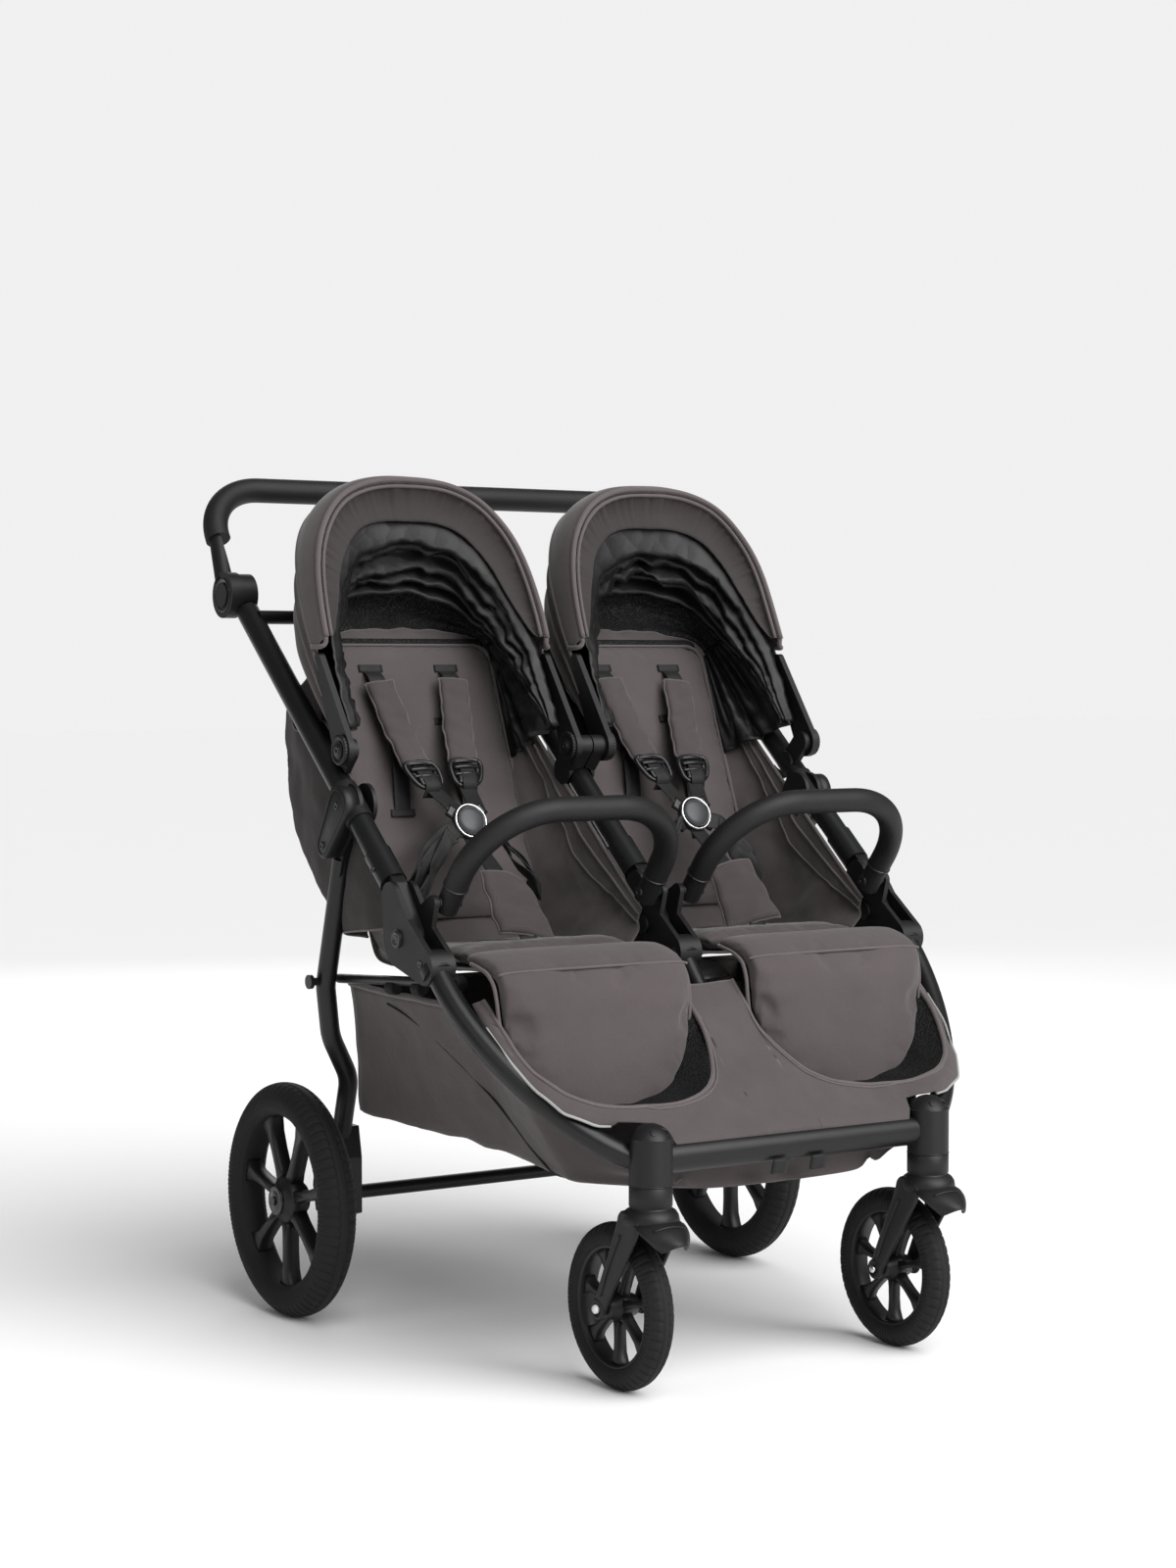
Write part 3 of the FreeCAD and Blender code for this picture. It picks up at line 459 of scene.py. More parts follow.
def webbing_cloth(name, colour):
    """Ribbed narrow webbing."""
    nodes = Nodes(name, colour, 0.55, Sheen_Weight=0.05, Sheen_Roughness=0.4, Specular_IOR_Level=0.35)
    ribs = nodes.maths("ADD", nodes.threads("X", 1.6), nodes.threads("Z", 1.1))
    nodes.tint(nodes.noise(120, 3), shade(colour, 0.8), shade(colour, 1.6))
    nodes.rough(nodes.noise(60, 2), 0.45, 0.65)
    nodes.bump(ribs, 0.25, 0.6)
    return nodes.material


def leather_grain(name, colour):
    """Foam grip with a pebbled leather-look skin."""
    nodes = Nodes(name, colour, 0.55, Specular_IOR_Level=0.35)
    pebbles = nodes.cells(620)
    wear = nodes.noise(14, 4)
    nodes.tint(wear, shade(colour, 0.8), shade(colour, 1.25))
    nodes.rough(wear, 0.48, 0.62)
    nodes.bump(pebbles, 0.35, 0.55)
    nodes.bump(nodes.noise(300, 4), 0.2, 0.5)
    return nodes.material


def moulded(name, colour, roughness=0.48):
    """Moulded plastic with a fine spark-eroded texture and handling wear."""
    nodes = Nodes(name, colour, roughness, Specular_IOR_Level=0.36)
    wear = nodes.noise(25, 5)
    nodes.tint(wear, shade(colour, 0.85), shade(colour, 1.2))
    nodes.rough(wear, roughness - 0.08, roughness + 0.1)
    nodes.bump(nodes.noise(1400, 2), 0.06, 0.6)
    return nodes.material


def painted_tube(name, colour, roughness=0.36):
    """Satin powder coat on aluminium, with slight orange peel."""
    nodes = Nodes(name, colour, roughness, Metallic=0.2, Coat_Weight=0.08, Coat_Roughness=0.35,
                  Specular_IOR_Level=0.4)
    wear = nodes.noise(18, 5)
    nodes.tint(wear, shade(colour, 0.9), shade(colour, 1.15))
    nodes.rough(wear, roughness - 0.05, roughness + 0.08)
    nodes.bump(nodes.noise(700, 2), 0.05, 0.5)
    return nodes.material


def bright_metal(name, colour, roughness=0.25):
    """Zinc or polished steel with brushed streaks."""
    nodes = Nodes(name, colour, roughness, Metallic=1.0)
    streaks = nodes.noise(200, 3, stretch=(1, 8, 8))
    nodes.tint(streaks, shade(colour, 0.8), shade(colour, 1.1))
    nodes.rough(streaks, roughness - 0.06, roughness + 0.14)
    nodes.bump(streaks, 0.02, 0.4)
    return nodes.material


def rubber(name, colour):
    """Matt tyre rubber with mould grain and a dusty bloom."""
    nodes = Nodes(name, colour, 0.72, Specular_IOR_Level=0.3)
    bloom = nodes.noise(22, 5)
    nodes.tint(bloom, shade(colour, 0.75), shade(colour, 1.5))
    nodes.rough(bloom, 0.6, 0.85)
    nodes.bump(nodes.noise(900, 3), 0.08, 0.6)
    return nodes.material


MATERIAL = {
    "fabric": woven("taupe_weave", TAUPE),
    # A darker copy of the taupe: partly a darker lining cloth, partly painted shade, darkened further to the
    # tone of the shaded outer sides of the seats.
    "fabric_band_and_shade": woven("taupe_lining_and_painted_shade", shade(TAUPE, 0.52), 0.8, 0.1),
    "padding": woven("taupe_padding", shade(TAUPE, 0.80), 0.8, 0.15),
    "piping": woven("taupe_piping", shade(TAUPE, 1.38), 0.7, 0.3, 0.7),
    "thread": woven("taupe_thread", shade(TAUPE, 1.9), 0.4, 0.2, 0.6),
    "liner": nylon("black_nylon", (0.0042, 0.0042, 0.0046)),
    "mesh": open_mesh("black_mesh", (0.0075, 0.0075, 0.008)),
    "webbing": webbing_cloth("black_webbing", (0.0050, 0.0050, 0.0054)),
    "red_tape": webbing_cloth("red_webbing", (0.22, 0.012, 0.012)),
    "grip": leather_grain("grip_foam", (0.0058, 0.0058, 0.0062)),
    "frame": painted_tube("charcoal_tube", (0.0062, 0.0064, 0.0068)),
    "plastic": moulded("black_plastic", (0.0055, 0.0055, 0.0059)),
    "rim": moulded("rim_plastic", (0.0060, 0.0060, 0.0064), 0.42),
    "glossy": moulded("glossy_plastic", (0.012, 0.012, 0.013), 0.2),
    "dome": moulded("dome_plastic", (0.035, 0.037, 0.040), 0.33),
    "tyre": rubber("tyre_rubber", (0.0066, 0.0066, 0.0070)),
    "steel": bright_metal("pin_steel", (0.10, 0.10, 0.105), 0.4),
    "silver": bright_metal("silver_ring", (0.75, 0.75, 0.76), 0.16),
    "white": moulded("white_cap", (0.75, 0.75, 0.74), 0.35),
    # Painted highlight: a bright grey cord that stands for the highlight line along the front tubes.
    "cord": woven("painted_highlight_cord", (0.30, 0.30, 0.29), 0.6, 0.1, 0.4),
}

FINISH_BY_START = (
    ("front_cross_tube", "frame"), ("front_tube", "frame"), ("upper_tube", "frame"),
    ("centre_frame", "frame"), ("side_struts", "frame"), ("rear_leg", "frame"), ("handle_tube", "plastic"),
    ("rear_axle", "frame"), ("fold_pins", "steel"), ("handle_grip", "grip"), ("bumper_bar", "grip"),
    ("rear_rim", "rim"), ("front_rim", "rim"), ("rear_tyre", "tyre"), ("front_tyre", "tyre"),
    ("buckle_button", "dome"),
)


def finish_frame():
    """Gives every CAD node a detailed material in place of its plain one."""
    for name, node in frame["nodes"].items():
        kind = "plastic"
        for start, finish in FINISH_BY_START:
            if name.startswith(start):
                kind = finish
        for material_slot in node.material_slots:
            material_slot.material = MATERIAL[kind]


def sided(name, side, parts, finish, body=None):
    """A piece named for its side, from parts given for the left one, in a finish from MATERIAL."""
    sign = 1 if side == "left" else -1
    return piece(f"{name}_{side}", mirror(parts, sign), MATERIAL[finish], body)


# ---- stage, light and camera --------------------------------------------------------------
FILL = 0.17              # even light from all round
BACKDROP = 0.875


def build_stage():
    """The pale floor, and a pale backdrop that only the camera sees."""
    paper = Nodes("studio_paper", (0.90, 0.90, 0.90), 0.9)
    paper.shader.inputs["Specular IOR Level"].default_value = 0.0
    paper.tint(paper.noise(3, 2), (0.895, 0.895, 0.895), (0.905, 0.905, 0.905))
    corners = np.array([(-30, -30, 0), (30, -30, 0), (30, 30, 0), (-30, 30, 0)]) / MM
    piece("studio_floor", (corners, [(0, 1, 2, 3)]), paper.material)
    world = bpy.data.worlds.new("studio")
    world.use_nodes = True
    tree = world.node_tree
    fill = tree.nodes["Background"]
    fill.inputs["Color"].default_value = (1, 1, 1, 1)
    fill.inputs["Strength"].default_value = FILL
    backdrop = tree.nodes.new("ShaderNodeBackground")
    backdrop.inputs["Color"].default_value = (BACKDROP, BACKDROP, BACKDROP, 1)
    path = tree.nodes.new("ShaderNodeLightPath")
    choice = tree.nodes.new("ShaderNodeMixShader")
    tree.links.new(path.outputs["Is Camera Ray"], choice.inputs[0])
    tree.links.new(fill.outputs[0], choice.inputs[1])
    tree.links.new(backdrop.outputs[0], choice.inputs[2])
    tree.links.new(choice.outputs[0], tree.nodes["World Output"].inputs["Surface"])
    SCENE.world = world
    SCENE.view_settings.view_transform = "Standard"


def area_light(name, place, target, size, power):
    """A rectangular lamp at a place in metres, turned to its target."""
    light = bpy.data.lights.new(name, "AREA")
    light.energy = power
    light.shape = "RECTANGLE"
    light.size = size[0]
    light.size_y = size[1]
    made = bpy.data.objects.new(name, light)
    made.location = place
    made.rotation_euler = (Vector(target) - Vector(place)).to_track_quat("-Z", "Y").to_euler()
    SCENE.collection.objects.link(made)


def build_lights():
    """A soft key from the front and above, and three softboxes."""
    sky = bpy.data.lights.new("overhead_sky", "SUN")
    sky.energy = 3.6
    sky.angle = math.radians(60)
    made = bpy.data.objects.new("overhead_sky", sky)
    made.rotation_euler = (math.radians(45), math.radians(11), 0)
    SCENE.collection.objects.link(made)
    middle = (0, 0, 0.55)
    area_light("softbox_left", (-3.0, -1.4, 1.9), middle, (1.6, 2.4), 12)
    area_light("softbox_rear", (1.4, 3.4, 2.2), middle, (2.4, 2.0), 30)
    area_light("softbox_front", (0.9, -3.6, 1.8), middle, (2.4, 2.0), 52)


CAMERA_PLACE = (-2.0230, -3.0852, 0.8361)
CAMERA_DOWN = 2.59       # degrees below level
CAMERA_HEADING = -32.9


def build_camera():
    """The camera where the photograph was taken from."""
    camera = bpy.data.cameras.new("photo_camera")
    camera.sensor_fit = "VERTICAL"
    camera.sensor_height = 36.0
    camera.lens = 66.3
    camera.shift_y = 0.0064
    camera.clip_end = 200
    made = bpy.data.objects.new("photo_camera", camera)
    made.location = CAMERA_PLACE
    made.rotation_euler = (math.radians(90 - CAMERA_DOWN), 0, math.radians(CAMERA_HEADING))
    SCENE.collection.objects.link(made)
    SCENE.camera = made


# ---- padded pieces ------------------------------------------------------------------------
VOXEL = 5.0              # of the remesh before a pad is blown up


def inflate(pad, pressure=4.0, cap=7.0, frames=20):
    """Blows a closed pad up with a cloth simulation, lets no point move further than cap, and smooths it."""
    remesh = pad.modifiers.new("Remesh", "REMESH")
    remesh.mode = "VOXEL"
    remesh.voxel_size = VOXEL * MM
    settle(pad)
    start = np.array([vertex.co for vertex in pad.data.vertices])
    cloth = pad.modifiers.new("Cloth", "CLOTH")
    cloth.settings.use_pressure = True
    cloth.settings.uniform_pressure_force = pressure
    cloth.settings.effector_weights.gravity = 0
    for number in range(1, frames + 1):
        SCENE.frame_set(number)
    settle(pad)
    SCENE.frame_set(1)
    end = np.array([vertex.co for vertex in pad.data.vertices])
    move = end - start
    far = np.linalg.norm(move, axis=1, keepdims=True)
    end = start + move * np.minimum(1, cap * MM / np.maximum(far, 1e-9))
    pad.data.vertices.foreach_set("co", end.ravel())
    pad.data.update()
    smooth = pad.modifiers.new("Subdivision", "SUBSURF")
    smooth.levels = 1
    settle(pad)
    pad.data.polygons.foreach_set("use_smooth", [True] * len(pad.data.polygons))
    return pad


def settle(made):
    """Applies every modifier to the mesh."""
    bpy.context.view_layer.update()
    evaluated = made.evaluated_get(bpy.context.evaluated_depsgraph_get())
    mesh = bpy.data.meshes.new_from_object(evaluated)
    made.modifiers.clear()
    made.data = mesh


def copy_mirrored(source, name, body):
    """The mirror image of a finished piece, for the right-hand side."""
    mesh = source.data.copy()
    points = np.array([vertex.co for vertex in mesh.vertices]) * np.array([-1, 1, 1])
    mesh.vertices.foreach_set("co", points.ravel())
    mesh.flip_normals()
    made = bpy.data.objects.new(name, mesh)
    SCENE.collection.objects.link(made)
    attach(made, body)
    return made


def pad_mesh(middle, half_thickness):
    """A closed pad around a middle grid, with a half thickness at every point, pinched along its rim."""
    lift = grid_normals(middle) * half_thickness[..., None]
    points = np.concatenate([(middle + lift).reshape(-1, 3), (middle - lift).reshape(-1, 3)])
    _, faces = sheet_mesh(middle, 1.0)
    return points, faces


def dome(u, power=4.0):
    """1 in the middle of -1…1, and falling to 0 at both ends."""
    return (1 - np.abs(u) ** power) ** (1 / 2.2)


def rim_of(grid):
    """The points round a grid's edge, as a closed path."""
    return np.concatenate([grid[0], grid[1:, -1], grid[-1, -2::-1], grid[-2:0:-1, 0]])


# ---- backrests ----------------------------------------------------------------------------
BACK_LOW, BACK_HIGH = 34.0, 415.0
BACK_MIDDLE, BACK_HALF = 172.0, 130.0
BACK_CORNER = 26.0


def back_point(x, distance, behind):
    """Points at x, up the backrest and behind its face."""
    y, z = on_back(distance, behind)
    return np.stack(np.broadcast_arrays(x, y, z), axis=-1)


def back_half_width(distance):
    """Half the backrest's width at a height: straight, with rounded top corners."""
    over = np.clip(distance - (BACK_HIGH - BACK_CORNER), 0, BACK_CORNER)
    return BACK_HALF - BACK_CORNER + np.sqrt(np.maximum(BACK_CORNER ** 2 - over ** 2, 0))


def back_edge(behind, inset=0.0):
    """Round the backrest's outline from its lower outer corner over the top to the lower inner one."""
    side = [(BACK_HALF - inset, distance) for distance in np.linspace(BACK_LOW, BACK_HIGH - BACK_CORNER, 40)]
    corner = [(BACK_HALF - BACK_CORNER + (BACK_CORNER - inset) * math.cos(angle),
               BACK_HIGH - BACK_CORNER + (BACK_CORNER - inset) * math.sin(angle))
              for angle in np.linspace(0.1, math.pi / 2, 8)]
    outer = np.array(side + corner)
    inner = outer[::-1] * np.array([-1, 1])
    outline = np.concatenate([outer, inner])
    return back_point(BACK_MIDDLE + outline[:, 0], outline[:, 1], behind)


def build_backrests():
    """The padded panel, its fabric shell behind it and the piping round the edge."""
    u = np.linspace(-1, 1, 45)
    distance = np.linspace(BACK_LOW, BACK_HIGH - 1, 75)
    half = back_half_width(distance)[:, None]
    x = BACK_MIDDLE + half * u
    height = distance[:, None]
    middle = back_point(x, height, 9.0)
    along = (height - BACK_LOW) / (BACK_HIGH - BACK_LOW) * 2 - 1
    thick = 2.0 + 5.0 * dome(u, 6) * dome(along, 10)
    panel = piece("backrest_pad_left", pad_mesh(middle, thick), MATERIAL["fabric"])
    inflate(panel, cap=3.5)
    crease_panel(panel)
    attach(panel, "backrest_left")
    copy_mirrored(panel, "backrest_pad_right", "backrest_right")
    shell = back_shell_grid()
    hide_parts("backrest_left")
    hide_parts("backrest_right")
    for side, _ in SIDES:
        body = "backrest_" + side
        cover = sided("backrest_shell", side, sheet_mesh(shell, 1.6), "fabric", body)
        seam = [pipe_mesh(back_edge(8.0, inset=1.5), 3.0), pipe_mesh(back_edge(14.0, inset=1.5), 2.4)]
        sided("backrest_piping", side, seam, "piping", body)
        thread = [stitch_mesh(back_edge(0.6, inset=8.0))]
        sided("backrest_stitching", side, thread, "thread", body)
        trim = back_edge(5.0, inset=1.0)
        top = trim[abs(trim[:, 0] - BACK_MIDDLE) < BACK_HALF - 8]
        top = top[top[:, 2] > on_back(BACK_HIGH - BACK_CORNER)[1]]
        lip = top + np.array(on_back_step(7.0, 2.0))
        band = sheet_mesh(np.stack([top + (lip - top) * part for part in np.linspace(0, 1, 5)]), 2.2)
        sided("backrest_trim", side, band, "mesh", body)


def on_back_step(up, behind):
    """The vector for a step up the backrest and behind it."""
    low, high = on_back(0), on_back(up, behind)
    return 0.0, high[0] - low[0], high[1] - low[1]


def crease_panel(panel):
    """Shallow pulls where the straps tug at the cover, and soft cross folds low down."""
    out = np.array(on_back_step(0, -1))
    tilt = math.radians(BACK_TILT)
    for vertex in panel.data.vertices:
        x, y, z = np.array(vertex.co) / MM
        up = (y - BIGHT[0]) * math.cos(tilt) + (z - BIGHT[1]) * math.sin(tilt)
        behind = (y - BIGHT[0]) * math.sin(tilt) - (z - BIGHT[1]) * math.cos(tilt)
        if behind > 8:
            continue
        low = math.exp(-((up - 150) / 75) ** 2)
        fold = 2.0 * low * math.sin(up / 11.0 + 1.6 * math.sin(x / 33.0) + 0.02 * (x - SEAT_X))
        soft = 2.2 * noise.noise(Vector((x / 45.0, up / 38.0, 3.1)))
        edge = min(BACK_HALF - abs(x - BACK_MIDDLE), BACK_HIGH - up)
        pucker = 0.7 * math.exp(-max(edge, 0) / 9.0) * math.sin(up / 3.4 + x / 3.4)
        vertex.co = Vector((np.array([x, y, z]) + out * (fold + soft + pucker)) * MM)


def back_shell_grid():
    """The fabric shell behind the pad, bulging like a pouch."""
    profile = smoothed([(0, 30, 14), (0, 52, 34), (0, 130, 80), (0, 238, 101), (0, 345, 84), (0, 404, 34),
                        (0, 413, 14)], 9)
    v = np.sin(np.linspace(-np.pi / 2, np.pi / 2, 49))
    rows = []
    for _, distance, behind in profile:
        pull = dome(v, 5)
        depth = 11 + (behind - 11) * pull
        x = BACK_MIDDLE + (BACK_HALF - 1 - 6 * np.abs(v) ** 8) * v
        rows.append(back_point(x, distance, depth))
    grid = np.array(rows)
    return grid + grid_normals(grid) * (rumple(grid, 60, 5, 4) + rumple(grid, 22, 1.6, 9))[..., None]


# ---- seat cushions and side walls ---------------------------------------------------------
CUSHION_MIDDLE, CUSHION_HALF = 174.5, 125.0
WALLS = (("outer", 331.0, 292.0, 3), ("inner", 17.0, 57.0, 8))  # x at the tube, x under the seat, seed


def build_seats():
    """The seat cushion, and the fabric walls up to the tubes."""
    u = np.linspace(-1, 1, 33)
    path = smoothed([(0, -150, 489), (0, -110, 488), (0, -60, 482), (0, 0, 478), (0, 46, 474)], 6)
    along = np.linspace(-1, 1, len(path))
    x = CUSHION_MIDDLE + CUSHION_HALF * u[None, :] * (1 - 0.02 * dome(along, 2))[:, None]
    middle = swept(x, path)
    thick = 2.0 + 6.5 * dome(u, 5) * dome(along, 6)[:, None]
    cushion = piece("seat_cushion_left", pad_mesh(middle, thick), MATERIAL["fabric"])
    inflate(cushion, cap=5.0)
    for vertex in cushion.data.vertices:
        x, y, z = np.array(vertex.co) / MM
        wave = 1.8 * noise.noise(Vector((x / 40, y / 26, 7.7)))
        wave += 0.8 * noise.noise(Vector((x / 14, y / 10, 2.0)))
        vertex.co.z += wave * MM * (1 if z > 480 else 0)
    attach(cushion, "upper_frame")
    other = copy_mirrored(cushion, "seat_cushion_right", "upper_frame")
    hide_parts("seat_liner_left")
    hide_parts("seat_liner_right")
    for side, sign in SIDES:
        for place, top_x, low_x, seed in WALLS:
            build_wall(f"seat_wall_{place}_{side}", sign, top_x, low_x, seed)


WALL_TURN = 0.36         # share of the wall's length beside the cushion


def wall_top(share, top_x):
    """Along the side tube, as share runs from the front to the top."""
    y, z = on_rib(14 + 376 * share, -11)
    return np.array([top_x, y, z])


def wall_low(share, low_x):
    """Under the cushion's side, then behind the backrest's edge, as share runs from the front to the top."""
    if share < WALL_TURN:
        part = share / WALL_TURN
        return np.array([low_x, -128 + 182 * part, 481 - 11 * part])
    y, z = on_back(6 + 300 * (share - WALL_TURN) / (1 - WALL_TURN), 15)
    return np.array([low_x, y, z])


def build_wall(name, sign, top_x, low_x, seed):
    """One side wall: it hangs from the tube, slack and turned in under the seat."""
    shares = np.linspace(0, 1, 90)
    tops = np.array([wall_top(share, top_x) for share in shares])
    lows = smoothed(np.array([wall_low(share, low_x) for share in np.linspace(0, 1, 14)]), 2)
    lows = lows[np.linspace(0, len(lows) - 1, len(shares)).astype(int)]
    v = np.linspace(0, 1, 24)[None, :, None]
    bend = v ** 2.4
    grid = tops[:, None] * (1 - v) + lows[:, None] * v
    grid[..., 0] = (tops[:, None] * (1 - bend) + lows[:, None] * bend)[..., 0]
    long_fold = np.sin(3.2 * np.pi * v[..., 0] + 0.4 * np.sin(shares * 5)[:, None]) * 2.2
    sag = np.sin(np.pi * v[..., 0]) * (4 + long_fold + rumple(grid, 48, 6, seed)
                                       + rumple(grid, 18, 2.0, seed + 1))
    inward = -1 if top_x > low_x else 1
    grid[..., 0] += inward * sag
    cover = piece(name, mirror(sheet_mesh(grid, 2.0), sign), MATERIAL["fabric"], "upper_frame")
    lift = np.array([inward * 2.0, 0, 0])
    seams = [pipe_mesh(grid[:, 0], 2.6, 6), pipe_mesh(grid[:, 3] + lift, 1.8, 6),
             pipe_mesh(grid[:, 7] + lift, 1.4, 6)]
    piece(name + "_piping", mirror(seams, sign), MATERIAL["piping"], "upper_frame")


POUCH_X = 331.0


def build_bridge():
    """Black cloth that hangs between the two cushions and closes the gap behind the apron's middle."""
    path = smoothed([(0, -196, 452), (0, -176, 463), (0, -130, 467), (0, -60, 464), (0, 20, 462)], 6)
    x = np.linspace(-56, 56, 25)
    hang = path[:, 2:3] - 5 * np.cos(x / 56 * np.pi / 2)
    grid = np.stack(np.broadcast_arrays(x, path[:, 1:2], hang), axis=-1)
    grid = rumpled(grid, 26, 3.0, 44)
    cloth = piece("seat_bridge", sheet_mesh(grid, 1.4), MATERIAL["liner"], "upper_frame")


def build_pouches():
    """Each seat's loose outer side: from the side tube back round the backrest, slack behind the tube."""
    shares = np.linspace(0, 1, 70)
    rows = []
    for share in shares:
        tube = np.array([POUCH_X, *on_rib(14 + 368 * share, -17)])
        back = np.array([BACK_MIDDLE + BACK_HALF - 1, *on_back(22 + 362 * share, 15)])
        slack = 92 * np.sin(np.pi * min(1, 0.02 + 0.94 * share)) ** 0.62
        rear = max(tube[1], back[1]) + slack
        low = np.array([POUCH_X + 3, tube[1] + 0.5 * (rear - tube[1]), tube[2] - 12])
        far = np.array([POUCH_X - 9, rear, (tube[2] + back[2]) / 2 - 8])
        rows.append(resampled(smoothed([tube, low, far, back], 4), 4)[:400])
    grid = np.array([even(row, 44) for row in rows])
    calm = np.sin(np.linspace(0, np.pi, 44))[None, :] ** 0.5
    folds = rumple(grid, 90, 9, 31) + rumple(grid, 30, 2.4, 32)
    grid = grid + grid_normals(grid) * (folds * calm)[..., None]
    for side, sign in SIDES:
        # The pouch takes the darker taupe: painted shade on the seat's outer side.
        cloth = sided("seat_pouch", side, sheet_mesh(grid, 1.8), "fabric_band_and_shade")
        seam = sided("seat_pouch_piping", side, [pipe_mesh(grid[0], 1.8, 6), pipe_mesh(grid[-1], 1.8, 6)],
                     "piping")
        for made in (cloth, seam):
            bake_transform(made)


# ---- calf pads ----------------------------------------------------------------------------
CALF_X, CALF_HALF = 181.0, 135.0


def calf_half(share):
    """Half the calf pad's width at a share of its length: full, then drawn in to a round lower end."""
    return CALF_HALF * (1 - np.clip((share - 0.30) / 0.735, 0, 1) ** 3.0) ** 0.58


def build_calf_pads():
    """The hinged leg rests: a padded tongue bent over the seat's front edge."""
    spine = smoothed([(0, -176, 489), (0, -212, 483), (0, -240, 473), (0, -254, 450), (0, -262, 400),
                      (0, -272, 350), (0, -281, 302)], 5)
    share = np.linspace(0, 1, len(spine))
    u = np.sin(np.linspace(-1, 1, 43) * np.pi / 2)
    half = np.maximum(calf_half(share), 14)
    x = CALF_X - 4 * np.clip(share * 2, 0, 1)[:, None] + half[:, None] * u[None, :]
    middle = swept(x, spine)
    middle[..., 1] += 9 * np.abs(u[None, :]) ** 3 * np.clip(share * 2, 0, 1)[:, None]
    thick = 3.0 + 9.0 * dome(u, 7) * dome(share * 2 - 1, 12)[:, None]
    pad = piece("calf_cushion_left", pad_mesh(middle, thick), MATERIAL["fabric"])
    inflate(pad, cap=5.5)
    for vertex in pad.data.vertices:
        x, y, z = np.array(vertex.co) / MM
        side_on = abs(x - CALF_X) / CALF_HALF
        wave = 1.3 * noise.noise(Vector((x / 34, z / 30, 5.5)))
        wave += 1.0 * side_on ** 3 * math.sin(z / 5.2) * (1 if y < -230 else 0)
        vertex.co.y -= wave * MM
    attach(pad, "calf_rest_left")
    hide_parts("calf_pad_left")
    other = copy_mirrored(pad, "calf_cushion_right", "calf_rest_right")
    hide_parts("calf_pad_right")
    normal = grid_normals(middle)
    facing = normal if normal[len(normal) // 2, 20, 1] < 0 else -normal
    front = middle + facing * thick[..., None]
    for side, _ in SIDES:
        body = "calf_rest_" + side
        rim = np.concatenate([middle[2:-1, 0], middle[-1, 1:-1], middle[-2:1:-1, -1]])
        seam = smoothed(rim[::4], 4)
        sided("calf_piping", side, [pipe_mesh(seam, 2.4)], "piping", body)
        crease = front[np.argmin(abs(spine[:, 2] - 470))]
        fold = crease[3:-3] + np.array([0, -5.2, 1.0])
        sided("calf_fold_seam", side, [pipe_mesh(fold, 1.5)], "piping", body)


# ---- canopies -----------------------------------------------------------------------------
ARCH_TURN = np.linspace(0, np.pi, 97)
ARCH_ROUNDING = 2.0 / 2.7


def arch(angle, half, low, high, turn=ARCH_TURN):
    """A canopy hoop in a plane through the hinge axis, from its outer foot over the top to the inner one."""
    across = np.sign(np.cos(turn)) * np.abs(np.cos(turn)) ** ARCH_ROUNDING
    up = np.abs(np.sin(turn)) ** ARCH_ROUNDING
    reach = low + (high - low) * up
    y, z = polar(CANOPY_PIVOT, reach, angle)
    return np.stack([CANOPY_X + half * across, y, z], axis=-1)


def even(path, count=97):
    """The path again with evenly spaced points."""
    runs = np.linalg.norm(np.diff(path, axis=0), axis=1)
    return resampled(path, runs.sum() / (count - 1))[:count]


def hood_rows(stations, between=5):
    """Smooth rows through hoops given as (angle, half width, low reach, high reach)."""
    stations = np.array(stations, float)
    count = (len(stations) - 1) * between + 1
    wanted = np.linspace(0, len(stations) - 1, count)
    ends = np.concatenate([[2 * stations[0] - stations[1]], stations, [2 * stations[-1] - stations[-2]]])
    rows = []
    for place in wanted:
        start = min(int(place), len(stations) - 2)
        t = place - start
        a, b, c, d = ends[start:start + 4]
        value = 0.5 * (2 * b + (c - a) * t + (2 * a - 5 * b + 4 * c - d) * t ** 2
                       + (3 * b - a - 3 * c + d) * t ** 3)
        rows.append(even(arch(*value)))
    return np.array(rows)


VISOR_EDGE = (68.2, 161, 150, 367)
VISOR_STATIONS = [VISOR_EDGE, (66.6, 165, 147, 377), (62.5, 168, 145, 386), (58.6, 168.5, 149, 384)]
SHELL_STATIONS = [(57.6, 167, 116, 381), (52, 168, 84, 368), (46, 166.5, 62, 346), (40.5, 163, 50, 306)]


def build_canopies():
    """Both hoods, each from its front hoop to the backrest."""
    for side, sign in SIDES:
        build_visor(side)
        build_shell(side)
        build_liner(side, 1 if side == "left" else 5)
        build_hood_back(side, sign)


